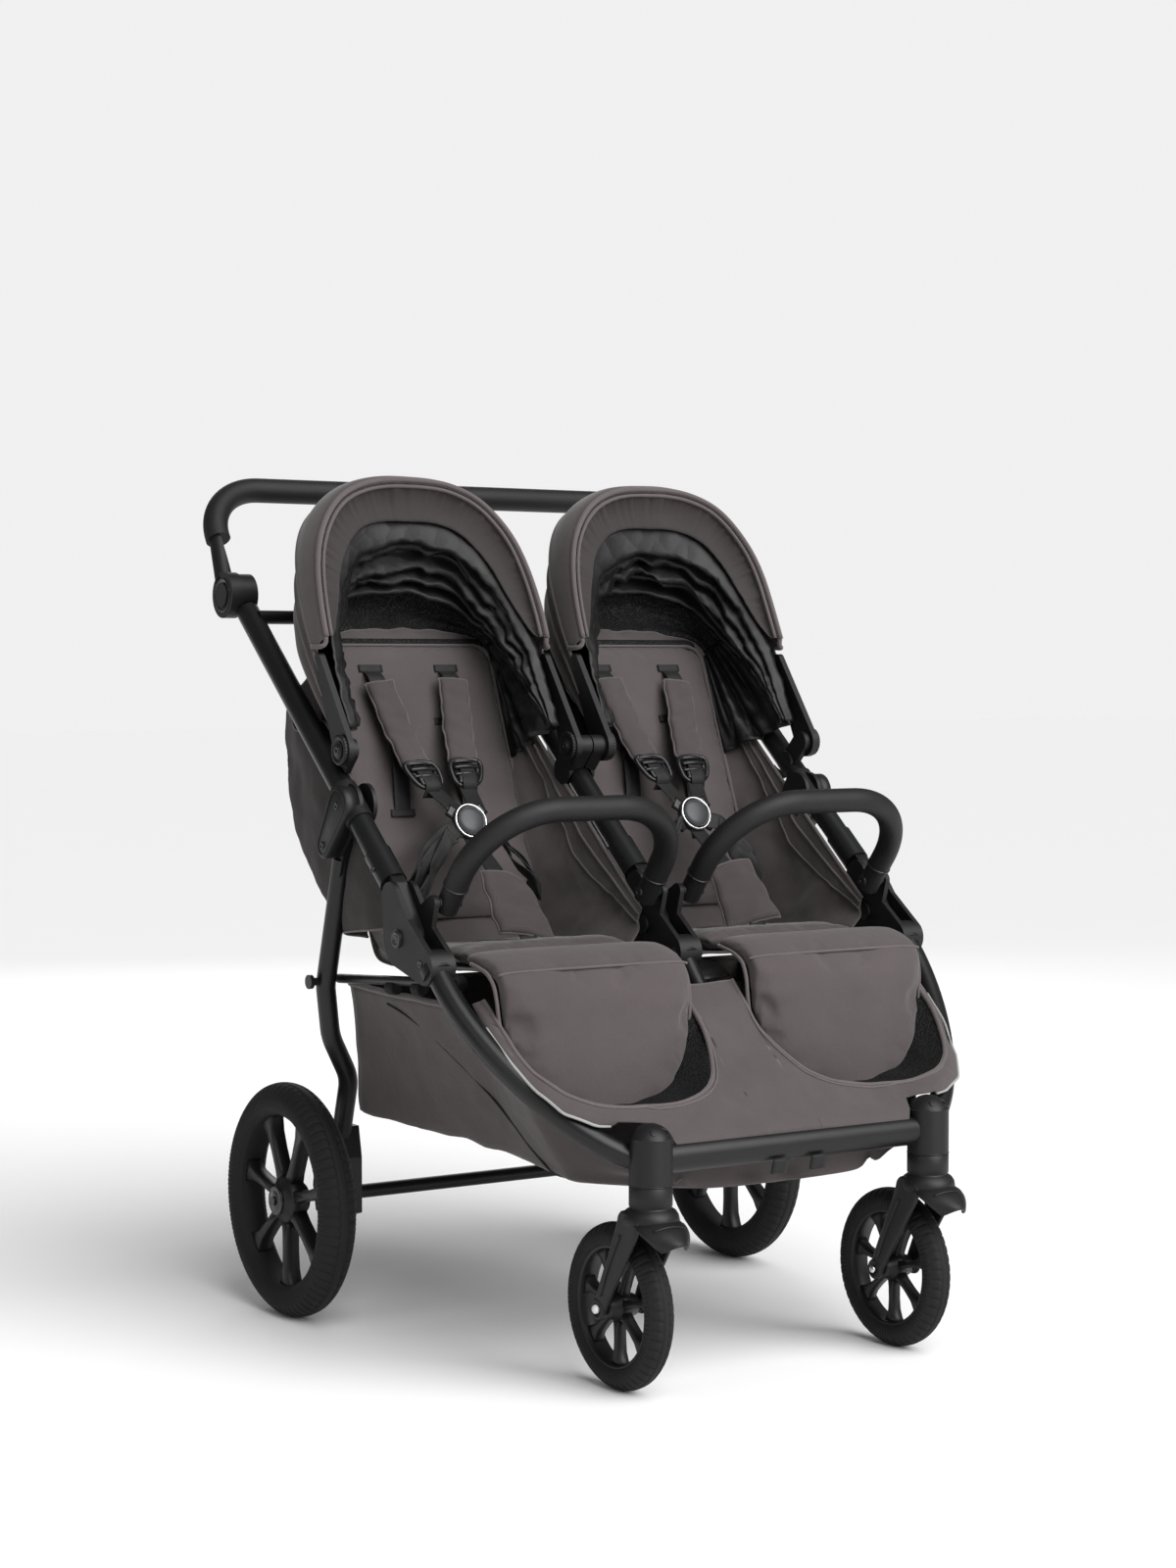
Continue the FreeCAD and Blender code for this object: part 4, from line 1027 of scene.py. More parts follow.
def build_visor(side):
    """The front hoop: one curved sheet over the top, piped edge, and the gathered band inside it."""
    body = "canopy_" + side
    outer = rumpled(hood_rows(VISOR_STATIONS, 7), 60, 1.6, 2)
    cover = sided("canopy_cover", side, sheet_mesh(outer, 2.2), "fabric", body)
    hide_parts("canopy_visor_" + side)
    edge = outer[0]
    front = np.array([0, -2.0, 0.6])
    tips = [smoothed([outer[0, 0], outer[0, 0] + [0, 1, -8], outer[8, 0] + [0, 0, -7], outer[-1, 0]], 3),
            smoothed([outer[0, -1], outer[0, -1] + [0, 1, -8], outer[8, -1] + [0, 0, -7], outer[-1, -1]], 3)]
    seams = [pipe_mesh(edge + front, 3.4, 10), pipe_mesh(inset_hoop(edge, 8.5) + front * 0.4, 2.3),
             pipe_mesh(outer[-1], 2.4)]
    seams += [pipe_mesh(tip, 3.2) for tip in tips]
    sided("canopy_piping", side, seams, "piping", body)
    band = band_grid(edge)
    # The band takes the darker taupe: a darker lining, with painted shade on top.
    lining = sided("canopy_band", side, sheet_mesh(band, 1.8), "fabric_band_and_shade", body)
    thread = [stitch_mesh(inset_hoop(edge, 5.2) + front * 1.9, 4.0, 2.6, 0.55)]
    sided("canopy_stitching", side, thread, "thread", body)


def inset_hoop(edge, depth):
    """The hoop drawn in towards the middle of the opening by a depth."""
    middle = np.array([CANOPY_X, *polar(CANOPY_PIVOT, 190, 67)])
    inward = unit(middle - edge)
    return edge + inward * np.broadcast_to(depth, len(edge))[:, None]


def band_grid(edge):
    """The inner band: deepest over the top, narrowing to the tips, gathered along the piping."""
    edge = resampled(edge, 2.6)
    turn = np.linspace(0, np.pi, len(edge))
    depth = 8 + 43 * np.sin(turn) ** 0.55
    gather = rumple(np.stack([turn * 90, turn * 0, turn * 0], axis=-1), 3.4, 7.5, 3)
    back = polar((0, 0), 1, -23)
    parts = np.linspace(0, 1, 14)
    rows = []
    for part in parts:
        row = inset_hoop(edge, depth * part + 3)
        row[:, 1] += back[0] * depth * part * 0.42 + np.sin(part * np.pi) * 5
        row[:, 2] += back[1] * depth * part * 0.10
        row[:, 1] -= gather * math.exp(-part * 1.7) * min(1, part * 9)
        rows.append(row)
    grid = np.array(rows)
    grid[..., 1] += rumple(grid, 42, 3.0, 6) * parts[:, None]
    return grid


def build_shell(side):
    """The folded rear part of the hood, with two sewn hoop channels."""
    grid = hood_rows(SHELL_STATIONS, 6)
    fold = np.abs(np.sin(np.linspace(0, 3 * np.pi, len(grid)))) * 3.2
    lift = grid_normals(grid)
    outward = np.sign(lift[:, 48, 2])[:, None, None]
    grid = grid - lift * outward * fold[:, None, None]
    calm = np.sin(np.linspace(0, np.pi, grid.shape[1])) ** 0.5
    grid = grid + grid_normals(grid) * (rumple(grid, 45, 2.4, 11) * calm)[..., None]
    cover = sided("canopy_rear_cover", side, sheet_mesh(grid, 2.0), "fabric", "upper_frame")
    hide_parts("canopy_shell_" + side)
    seams = [pipe_mesh(grid[0], 2.2), pipe_mesh(grid[len(grid) // 3], 1.8), pipe_mesh(grid[-1], 2.6)]
    sided("canopy_rear_piping", side, seams, "piping", "upper_frame")


LINER_PLEATS = 5


def build_liner(side, seed):
    """Thin black cloth bunched into sharp folds between the front hoop and the fixed rear part."""
    stations = []
    for index in range(2 * LINER_PLEATS + 1):
        share = index / (2 * LINER_PLEATS)
        droop = 0 if index % 2 == 0 else 1
        angle = 64.0 - 19.0 * share
        slump = 32 + 26 * noise.noise(Vector((index * 1.7, seed, 0.5)))
        stations.append((angle, 153 - 4 * share - 10 * droop, 30, 338 - 34 * share - slump * droop))
    grid = hood_rows(stations, 4)
    rows, columns = grid.shape[:2]
    turn = np.linspace(0, np.pi, columns)
    share = np.linspace(0, 1, rows)
    centre = np.array([CANOPY_X, *polar(CANOPY_PIVOT, 170, 54)])
    inward = unit(centre - grid)
    inward[..., 1] *= 0.35
    sharp = rumple(grid, 52, 1.0, seed, ridged=True)
    fine = rumple(grid, 17, 1.0, seed + 2, ridged=True)
    top = np.sin(turn)[None, :] ** 1.5
    middle = np.sin(share * np.pi)[:, None]
    sway = (0.5 + 0.5 * np.sin(3 * turn + seed)[None, :]) * middle * top
    creases = np.stack(np.broadcast_arrays(share[:, None] * 90, turn * 26, 0.0), axis=-1)
    pull = rumple(creases, 13, 1.0, seed + 5, ridged=True)
    grid = grid + inward * ((sharp * 15 + 6) * middle + fine * 4.0 + sway * 16
                            + pull * 6 * middle)[..., None]
    keep = CANOPY_X + np.array([-1, 1]) * (CANOPY_HALF - 11)
    grid[..., 0] = np.clip(grid[..., 0], *keep)
    liner = sided("canopy_liner", side, sheet_mesh(grid, 1.2), "liner")
    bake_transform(liner)


def build_hood_back(side, sign):
    """Cloth from the rear hoop to the backrest: black sides, a mesh window, a taupe strip above the seat."""
    hoop = even(arch(43.0, 158, 34, 300))
    seat = back_edge(6.0, inset=2.0)
    seat = seat[seat[:, 2] > on_back(244)[1]]
    seat = even(seat)
    rows = []
    parts = np.linspace(0, 1, 26)
    turn = np.linspace(0, np.pi, len(hoop))
    for part in parts:
        row = hoop * (1 - part) + seat * part
        row[:, 1] += 20 * np.sin(np.pi * part) * np.sin(turn) ** 2
        rows.append(row)
    grid = np.array(rows)
    sides = 1 - np.sin(turn)[None, :] ** 3
    lanes = np.stack(np.broadcast_arrays(parts[:, None] * 100, turn * 22, 0.0), axis=-1)
    pleats = rumple(lanes, 19, 17, 21, ridged=True)
    grid = grid + grid_normals(grid) * ((pleats + rumple(grid, 26, 4, 9, ridged=True)) * sides
                                        + rumple(grid, 30, 5, 5) * (1 - sides)
                                        )[..., None] * np.sin(np.pi * parts)[:, None, None] ** 0.6
    window = (np.abs(turn - np.pi / 2) < 0.80)
    names = (("hood_window_", "mesh", grid[:19], window), ("hood_strip_", "fabric", grid[18:], window),
             ("hood_side_outer_", "liner", grid, turn < np.pi / 2 - 0.76),
             ("hood_side_inner_", "liner", grid, turn > np.pi / 2 + 0.76))
    for name, finish, rows, columns in names:
        part = rows[:, columns]
        cloth = piece(name + side, mirror(sheet_mesh(part, 1.2), sign), MATERIAL[finish])
        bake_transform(cloth)


# ---- apron and basket ---------------------------------------------------------------------
APRON_LOW, APRON_HIGH = (-398.0, 301.0), (-207.0, 461.0)
APRON_RISE = math.hypot(APRON_HIGH[0] - APRON_LOW[0], APRON_HIGH[1] - APRON_LOW[1])
OPENING_HALF = 138.0


def apron_top(x):
    """How far up the apron reaches at x: down round the child's openings, full height between them."""
    across = np.abs(np.abs(x) - (SEAT_X - 1)) / OPENING_HALF
    drop = np.where(across < 1, (1 - np.minimum(across, 1) ** 3) ** (1 / 3), 0)
    return APRON_RISE - 20 - (APRON_RISE - 66) * drop


APRON_SIDE = ((0, 172, 182, 226, 255, 290, 308, 321, 328), (-13, -13, 20, 24, 29, 50, 86, 140, 198))


def apron_low(x):
    """How far up its lower edge is at x: over the cross tube, behind the sockets, along the side tubes."""
    return np.interp(np.abs(x), *APRON_SIDE)


def apron_place(x, distance, behind=0.0):
    """A point of the apron's sloping plane."""
    share = distance / APRON_RISE
    y = APRON_LOW[0] + (APRON_HIGH[0] - APRON_LOW[0]) * share
    z = APRON_LOW[1] + (APRON_HIGH[1] - APRON_LOW[1]) * share
    slope = math.atan2(APRON_HIGH[1] - APRON_LOW[1], APRON_HIGH[0] - APRON_LOW[0])
    return np.stack(np.broadcast_arrays(x, y + behind * math.sin(slope), z - behind * math.cos(slope)),
                    axis=-1)


def build_apron():
    """One sheet from the cross tube to the seats, sagging a little, piped round both openings."""
    near = OPENING_HALF * np.sin(np.linspace(-np.pi / 2, np.pi / 2, 61))
    right_half = np.concatenate([np.linspace(0, SEAT_X - 1 - OPENING_HALF, 10)[:-1], SEAT_X - 1 + near,
                                 [321, 327]])
    x = np.concatenate([-right_half[:0:-1], right_half])
    v = np.linspace(0, 1, 34)[:, None]
    low, high = apron_low(x)[None, :], apron_top(x)[None, :]
    distance = low + (high - low) * v
    sag = 5 * np.sin(np.pi * np.clip(distance / APRON_RISE, 0, 1)) * np.exp(-(x[None, :] / 230) ** 4)
    edge_x = np.interp(distance, APRON_SIDE[1][1:], APRON_SIDE[0][1:])
    sag = sag + 9 * np.clip(1 - (edge_x - np.abs(x)[None, :]) / 30, 0, 1) ** 2 * (np.abs(x) > 235)[None, :]
    sag = sag + 4 * np.clip(-distance / 13, 0, 1) ** 2
    grid = apron_place(np.broadcast_to(x, distance.shape), distance, sag)
    out = apron_place(0, 0, -1) - apron_place(0, 0, 0)
    folds = rumple(grid, 75, 5, 2) + rumple(grid, 26, 1.5, 7)
    grid = grid + out * folds[..., None] * np.clip(distance / 25, 0, 1)[..., None]
    cover = piece("apron_cover", sheet_mesh(grid, 2.0), MATERIAL["fabric"], "root")
    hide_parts("apron")
    seams = []
    for sign in (1, -1):
        inside = (sign * x > SEAT_X - 1 - OPENING_HALF - 1) & (sign * x < SEAT_X + OPENING_HALF + 1)
        seams.append(pipe_mesh(resampled(grid[-1][inside], 4), 2.8))
        seams.append(pipe_mesh(resampled(grid[-4][inside] + out * 1.6, 4), 1.3, 6))
    piece("apron_piping", seams, MATERIAL["piping"], "root")
    # Painted highlight: a bright grey cord along each side edge of the apron stands for the highlight line
    # along the front tube.
    painted_highlight_lines = []
    for sign in (1, -1):
        edge = grid[0][(sign * x > 236)]
        painted_highlight_lines.append(pipe_mesh(smoothed(edge[np.argsort(edge[:, 1])] + out * 1.5, 4), 1.7))
    piece("apron_edge_highlight_cord", painted_highlight_lines, MATERIAL["cord"], "root")
    for side, _ in SIDES:
        build_gusset(side, grid, x)


def build_gusset(side, grid, x):
    """Black mesh that closes the round opening behind the calf pad."""
    inside = (x > SEAT_X - 1 - OPENING_HALF - 1) & (x < SEAT_X - 1 + OPENING_HALF + 1)
    edge = grid[-1][inside] + np.array([0, 2, -1])
    edge = even(resampled(edge, 4), 61)
    pocket = edge.copy()
    pocket[:, 0] = SEAT_X + (edge[:, 0] - SEAT_X) * 0.72
    deep = np.clip((465 - edge[:, 2]) / 150, 0, 1)
    pocket[:, 1] = -205 - 55 * deep
    pocket[:, 2] = edge[:, 2] - 6
    rows = [edge * (1 - part) + pocket * part for part in np.linspace(0, 1, 12)]
    cloth = np.array(rows)
    calm = np.sin(np.linspace(0, np.pi, len(rows)))[:, None]
    cloth = cloth + grid_normals(cloth) * (rumple(cloth, 30, 3, 4) * calm)[..., None]
    made = sided("apron_gusset", side, sheet_mesh(cloth, 1.2), "mesh", "root")


BASKET_STATIONS = [(124, 306, 290, 262, 433), (30, 308, 268, 252, 431), (-60, 309, 250, 250, 430),
                   (-165, 309, 232, 240, 427), (-262, 304, 224, 226, 362), (-330, 236, 170, 226, 296),
                   (-370, 180, 134, 228, 254)]


def basket_rows():
    """Cross sections from the rear to the front: top rim, side, rounded corner, sagging floor."""
    stations = np.array(BASKET_STATIONS, float)
    rows = []
    for y in np.linspace(stations[0, 0], stations[-1, 0], 52):
        top_half, low_half, low, high = (np.interp(-y, -stations[:, 0], stations[:, index])
                                         for index in (1, 2, 3, 4))
        side = [(top_half, high), (top_half * 0.72 + low_half * 0.28 - 3, high * 0.72 + low * 0.28),
                (top_half * 0.35 + low_half * 0.65 - 3, high * 0.35 + low * 0.65),
                (low_half + 2, low + 16), (low_half - 14, low + 3), (low_half * 0.5, low - 0.5),
                (0, low - 1)]
        outline = np.array([(x, y, z) for x, z in side])
        other = outline[-2::-1] * np.array([-1, 1, 1])
        rows.append(even(smoothed(np.concatenate([outline, other]), 8), 91))
    return np.array(rows)


def on_grid(grid, rows, columns):
    """Points between a grid's own points, at fractional rows and columns."""
    row = np.minimum(np.floor(rows).astype(int), grid.shape[0] - 2)
    column = np.minimum(np.floor(columns).astype(int), grid.shape[1] - 2)
    down, along = (rows - row)[:, None], (columns - column)[:, None]
    upper = grid[row, column] * (1 - along) + grid[row, column + 1] * along
    lower = grid[row + 1, column] * (1 - along) + grid[row + 1, column + 1] * along
    return upper * (1 - down) + lower * down


def build_basket():
    """The sling basket: a lofted shell with a loose floor, end walls, piped rim and diagonal side seam."""
    rows = basket_rows()
    share = np.linspace(0, 1, rows.shape[1])
    floor = np.sin(np.pi * share)[None, :] ** 4
    normal = grid_normals(rows)
    outward = -np.sign(normal[26, 45, 2])
    calm = 0.15 + 0.85 * np.clip((rows[..., 1] + 330) / 130, 0, 1)
    folds = (rumple(rows, 110, 9, 3) + rumple(rows, 38, 3.0, 8)) * calm
    rows = rows - normal * (outward * np.abs(folds) * (0.5 + 0.5 * floor))[..., None]
    parts = [sheet_mesh(rows, 1.8)]
    for end, step in ((rows[0], 1), (rows[-1], -1)):
        line = np.stack([end[:, 0], end[:, 1], np.full(len(end), end[0, 2])], axis=-1)
        wall = np.array([end * (1 - part) + line * part for part in np.linspace(0, 1, 14)])
        wall[..., 1] += step * (-6 * np.sin(np.pi * np.linspace(0, 1, 14))[:, None]
                                * np.sin(np.pi * share)[None, :] + rumple(wall, 60, 4, 13))
        parts.append(sheet_mesh(wall, 1.8))
    shell = piece("basket_shell", parts, MATERIAL["fabric"], "root")
    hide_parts("basket")
    seams = [pipe_mesh(resampled(rows[:, 0], 6), 4.0), pipe_mesh(resampled(rows[:, -1], 6), 4.0),
             pipe_mesh(resampled([rows[0, 0], rows[0, -1]], 6), 3.6)]
    piece("basket_rim", seams, MATERIAL["piping"], "root")
    for side, _ in SIDES:
        share = np.linspace(0, 1, 60)
        line = on_grid(rows, 10 + 33 * share, 1.5 + 25 * share ** 1.5) + np.array([1.4, 0, -0.6])
        second = on_grid(rows, 10.8 + 33 * share, 1.5 + 25 * share ** 1.5) + np.array([1.2, 0, -0.6])
        sided("basket_seam", side, [pipe_mesh(resampled(line, 5), 1.5, 6)], "webbing", "root")
        sided("basket_stitching", side, [stitch_mesh(second, 4.5, 3.0, 0.45)], "thread", "root")


# ---- seat bight ---------------------------------------------------------------------------
def build_bights():
    """Fabric that runs from under the seat cushion up behind the foot of the backrest."""
    profile = smoothed([(0, -140, 472), (0, -90, 474), (0, -20, 466), (0, 34, 464), (0, 66, 474),
                        (0, *on_back(34, 13)), (0, *on_back(70, 14))], 5)
    x = np.linspace(50, 300, 40)
    grid = swept(x, profile)
    grid = rumpled(grid, 34, 3.0, 12)
    for side, sign in SIDES:
        cloth = sided("seat_bight", side, sheet_mesh(grid, 2.0), "fabric")
        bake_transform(cloth)


# ---- harness ------------------------------------------------------------------------------
WEBBING_WIDTH, WEBBING_THICK = 24.0, 1.8
BUCKLE_X = SEAT_X - 4
BUCKLE_AT = (56.0, 634.0)
OUT_OF_BACK = unit(np.array(on_back_step(0, -1)))
UP_THE_BACK = unit(np.array(on_back_step(1, 0)))


def on_face(x, distance, ahead):
    """A point ahead of the backrest's face."""
    y, z = on_back(distance, -ahead)
    return np.array([x, y, z])


def buckle_point(x, up, out=7.0):
    """A point beside the buckle, up its face and out of it."""
    return np.array([BUCKLE_X + x, *BUCKLE_AT]) + UP_THE_BACK * up + OUT_OF_BACK * out


def build_harness():
    """Both five-point harnesses."""
    for side, sign in SIDES:
        body = "backrest_" + side
        straps, pads, seams, thread, locks = [], [], [], [], []
        for hand in (-1, 1):
            add_shoulder_strap(hand, straps, pads, seams, thread, locks)
            straps += waist_strap(hand)
        web = sided("harness_webbing", side, straps, "webbing", body)
        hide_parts("harness_" + side)
        for number, pad in enumerate(pads):
            made = sided(f"shoulder_pad_{number + 1}", side, [pad], "padding", body)
        sided("shoulder_piping", side, seams, "piping", body)
        sided("shoulder_stitching", side, thread, "thread", body)
        sided("ladder_locks", side, locks, "glossy", body)
        if side == "right":
            red = strap_mesh(resampled([buckle_point(-47, -27, -3), buckle_point(-57, -38, -8)], 3),
                             (0.3, 0.5, 0.8), 12, 2.4)
            sided("waist_tab", side, [red], "red_tape", body)
        build_slots(side, body)
        build_buckle(side, body)
        build_crotch(side)


def shoulder_path(hand):
    """From the slot in the backrest down to the buckle; hand is -1 or 1."""
    top, low = 56 * hand, 27 * hand
    return smoothed([on_face(SEAT_X + top, 372, 2), on_face(SEAT_X + top * 0.99, 358, 12),
                     on_face(SEAT_X + top * 0.93, 330, 15), on_face(SEAT_X + top * 0.78, 280, 20),
                     on_face(SEAT_X + (top + low) / 2 * 0.86, 235, 30), on_face(SEAT_X + low, 200, 42),
                     buckle_point(16 * hand, 18, 5)], 4)


def add_shoulder_strap(hand, straps, pads, seams, thread, locks):
    """Adds one strap with its pad, slide and loose end to the lists."""
    path = shoulder_path(hand)
    side_on = np.array([1.0, 0, 0])
    straps.append(strap_mesh(path, side_on, WEBBING_WIDTH, WEBBING_THICK))
    run = np.concatenate([[0], np.cumsum(np.linalg.norm(np.diff(path, axis=0), axis=1))])
    inside = (run > 20) & (run < 148)
    line = resampled(path[inside], 4) + OUT_OF_BACK * 4
    tangent, _, _ = frames_along(line)
    across = unit(side_on - tangent * (tangent @ side_on)[:, None])
    v = np.linspace(-1, 1, 17)
    middle = line[:, None] + across[:, None] * (v * 20)[None, :, None]
    along = np.linspace(-1, 1, len(line))[:, None]
    thick = 1.6 + 3.8 * dome(v, 5) * dome(along, 14)
    middle = middle + OUT_OF_BACK * (rumple(middle, 22, 3.4, 3 + hand) - 2.6 * np.abs(v) ** 2
                                     + 0.9 * np.sin(along * 15 + v[None, :] * 2))[..., None]
    pads.append(pad_mesh(middle, thick))
    for edge in (0, -1):
        seams.append(pipe_mesh(middle[:, edge], 1.9, 7))
        inner = middle[:, 2 if edge == 0 else -3] + OUT_OF_BACK * 4.0
        thread.append(stitch_mesh(inner, 3.8, 2.5, 0.4))
    seams += [pipe_mesh(middle[0], 1.7, 7), pipe_mesh(middle[-1], 1.7, 7)]
    lock_at = path[np.argmin(abs(run - 163))] + OUT_OF_BACK * 3
    locks.extend(ladder_lock(lock_at, tangent[-1]))
    start = path[np.argmin(abs(run - 150))]
    tail = smoothed([start + OUT_OF_BACK * 6, lock_at + OUT_OF_BACK * 6,
                     lock_at + tangent[-1] * 20 + OUT_OF_BACK * 8,
                     lock_at + tangent[-1] * 34 - OUT_OF_BACK * 6 + side_on * 5 * hand], 3)
    straps.append(strap_mesh(tail, side_on, WEBBING_WIDTH - 3, WEBBING_THICK))
    loose = smoothed([on_face(SEAT_X + 40 * hand, 296, 6), on_face(SEAT_X + 44 * hand, 250, 11),
                      on_face(SEAT_X + 49 * hand, 205, 9), on_face(SEAT_X + 50 * hand, 178, 1)], 4)
    straps.append(strap_mesh(loose, side_on, WEBBING_WIDTH - 1, WEBBING_THICK))


def ladder_lock(centre, along):
    """A three-bar slide: frame, crossbars and a thumb lip."""
    across = np.array([1.0, 0, 0])
    up = unit(np.cross(across, along))
    if up @ OUT_OF_BACK < 0:
        up = -up

    def spot(u, v, w=0.0):
        """A point of the slide: across it, along it and above it."""
        return centre + across * u * 1.12 + along * v * 1.15 + up * w

    outline = smoothed([spot(-17, -13, 3), spot(17, -13, 3), spot(18, 9, 3), spot(9, 19, 2), spot(-9, 19, 2),
                        spot(-18, 9, 3)], 2.5, closed=True)
    parts = [pipe_mesh(outline, 3.2, 8, closed=True)]
    for v, lift in ((-13, 3.5), (-4, 6.0), (5, 5.0)):
        bar = smoothed([spot(-16, v, lift - 1), spot(0, v, lift + 1), spot(16, v, lift - 1)], 3)
        parts.append(pipe_mesh(bar, 2.5, 8))
    plate = [[spot(u, v, 5.0 + 1.5 * math.cos(u / 14)) for u in np.linspace(-13, 13, 9)]
             for v in np.linspace(7, 18, 5)]
    back = [[spot(u, v, 1.0) for u in np.linspace(-15, 15, 5)] for v in np.linspace(-12, 12, 5)]
    parts += [sheet_mesh(np.array(plate), 3.2), sheet_mesh(np.array(back), 2.0)]
    return parts


def waist_strap(hand):
    """Slack belt from the buckle down to the corner of the seat, doubled where it is adjusted."""
    path = smoothed([buckle_point(17 * hand, -8, 6), buckle_point(40 * hand, -18, 6),
                     buckle_point(68 * hand, -44, -2), buckle_point(88 * hand, -74, -12),
                     on_face(SEAT_X + 92 * hand, 62, 24), on_face(SEAT_X + 97 * hand, 36, 10)], 3)
    twist = np.linspace(0, 1, len(path))
    across = np.stack([0.35 + 0.5 * np.sin(twist * 5), 0.5 * np.cos(twist * 4), np.full(len(path), 0.9)],
                      axis=1)
    path = path + OUT_OF_BACK * (4 * np.sin(twist * 16))[:, None]
    second = path[4:-8] + np.array([2.0 * hand, -4.0, -7.0]) + OUT_OF_BACK * (
        3 * np.sin(twist[4:-8] * 21 + 1))[:, None]
    loop = smoothed([path[6], path[6] + [20 * hand, -6, -34], path[len(path) // 2] + [10 * hand, -16, -34],
                     path[-16] + [-2 * hand, -9, 2], path[-7]], 3)
    swing = np.linspace(0, 1, len(loop))
    loop = loop + OUT_OF_BACK * (4 * np.sin(swing * 15))[:, None]
    slant = np.stack([0.3 + 0.4 * np.sin(swing * 6), 0.4 * np.cos(swing * 7), np.full(len(loop), 0.9)],
                     axis=1)
    return [strap_mesh(path, across, WEBBING_WIDTH, WEBBING_THICK),
            strap_mesh(second, across[4:-8], WEBBING_WIDTH - 4, WEBBING_THICK),
            strap_mesh(loop, slant, WEBBING_WIDTH - 5, WEBBING_THICK)]


def build_slots(side, body):
    """Bound slots that the webbing comes through."""
    parts = []
    for x, distance in ((-56, 374), (56, 374), (-40, 300), (40, 300), (-50, 176), (50, 176)):
        row = [on_face(SEAT_X + x + u, distance + 2, 2.4) for u in (-17, 17)]
        parts.append(strap_mesh(resampled(row, 4), UP_THE_BACK, 10.0, 2.4))
    sided("webbing_slots", side, parts, "webbing", body)


def build_buckle(side, body):
    """Round buckle: dark body, silver ring and a domed button."""
    centre = np.array([BUCKLE_X, *BUCKLE_AT])
    case = [(0.5, -2), (17, -2), (22, 0), (23.4, 4), (23.4, 9), (21.6, 11.5), (20.0, 11.5), (20.0, 6.5),
            (0.5, 6.5)]
    made = sided("buckle_case", side, [lathe_mesh(case, centre, OUT_OF_BACK, 56)], "glossy", body)
    keeper = [(0.5, -25), (8.5, -25), (8.5, -2), (0.5, -2)]
    parts = [lathe_mesh(keeper, centre, OUT_OF_BACK)]
    for x, up in ((-19, 14), (19, 14), (-20, -12), (20, -12), (0, -24)):
        tongue = resampled([buckle_point(x * 0.8, up * 0.8, 3.5), buckle_point(x * 1.35, up * 1.35, 3.5)], 3)
        away = unit(np.cross(OUT_OF_BACK, tongue[-1] - tongue[0]))
        parts.append(strap_mesh(tongue, away, 17, 5.0))
    sided("buckle_tongues", side, parts, "glossy", body)
    ring = [(20.2, 10.8), (20.6, 12.6), (22.4, 12.6), (23.2, 10.6), (23.2, 9.6), (20.2, 9.6)]
    sided("buckle_ring", side, [lathe_mesh(ring, centre, OUT_OF_BACK, 64)], "silver",
          body)
    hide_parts("buckle_" + side)
    cap = [(0.4, 9.8), (16.8, 9.8), (18.3, 10.4), (18.5, 12.4), (17.2, 13.9), (12.5, 15.2), (6, 15.9),
           (0.4, 16.1)]
    button = sided("buckle_dome", side, [lathe_mesh(cap, centre, OUT_OF_BACK, 56)], "dome",
                   "buckle_button_" + side)
    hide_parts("buckle_button_" + side)


def build_crotch(side):
    """Crotch strap with its rectangular pad, standing up from the seat to the buckle."""
    path = smoothed([(BUCKLE_X, -96, 497), (BUCKLE_X, -88, 506), (BUCKLE_X - 1, -52, 538),
                     (BUCKLE_X, -24, 570), (BUCKLE_X, 14, 596), tuple(buckle_point(0, -22, 5))], 3)
    web = sided("crotch_webbing", side, [strap_mesh(path, (1, 0, 0), WEBBING_WIDTH, 2.2)], "webbing")
    line = smoothed([(BUCKLE_X - 2, -86, 500), (BUCKLE_X - 1, -62, 529), (BUCKLE_X, -27, 572)], 3)
    v = np.linspace(-1, 1, 21)
    along = np.linspace(-1, 1, len(line))[:, None]
    middle = line[:, None] + np.array([1.0, 0, 0.16]) * (v[None, :] * (36 - 5 * along))[..., None]
    thick = 1.8 + 3.6 * dome(v, 8) * dome(along, 8)
    normal = grid_normals(middle)
    facing = normal * np.sign(-normal[len(line) // 2, 10, 1])
    bow = 5 * (1 - v[None, :] ** 2) + 1.6 * np.sin(along * 7 + v[None, :] * 1.5)
    middle = middle + facing * (1.5 + bow + rumple(middle, 26, 4.0, 15))[..., None]
    pad = sided("crotch_pad", side, [pad_mesh(middle, thick)], "padding")
    rim = rim_of(middle)
    seam = sided("crotch_piping", side, [pipe_mesh(rim, 1.9, 7, closed=True)], "piping")
    inner = middle[2:-2, 2:-2] + facing[2:-2, 2:-2] * (thick[2:-2, 2:-2, None] + 0.3)
    thread = sided("crotch_stitching", side, [stitch_mesh(rim_of(inner), 3.8, 2.5, 0.4)], "thread")
    for made in (web, pad, seam, thread):
        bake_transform(made)


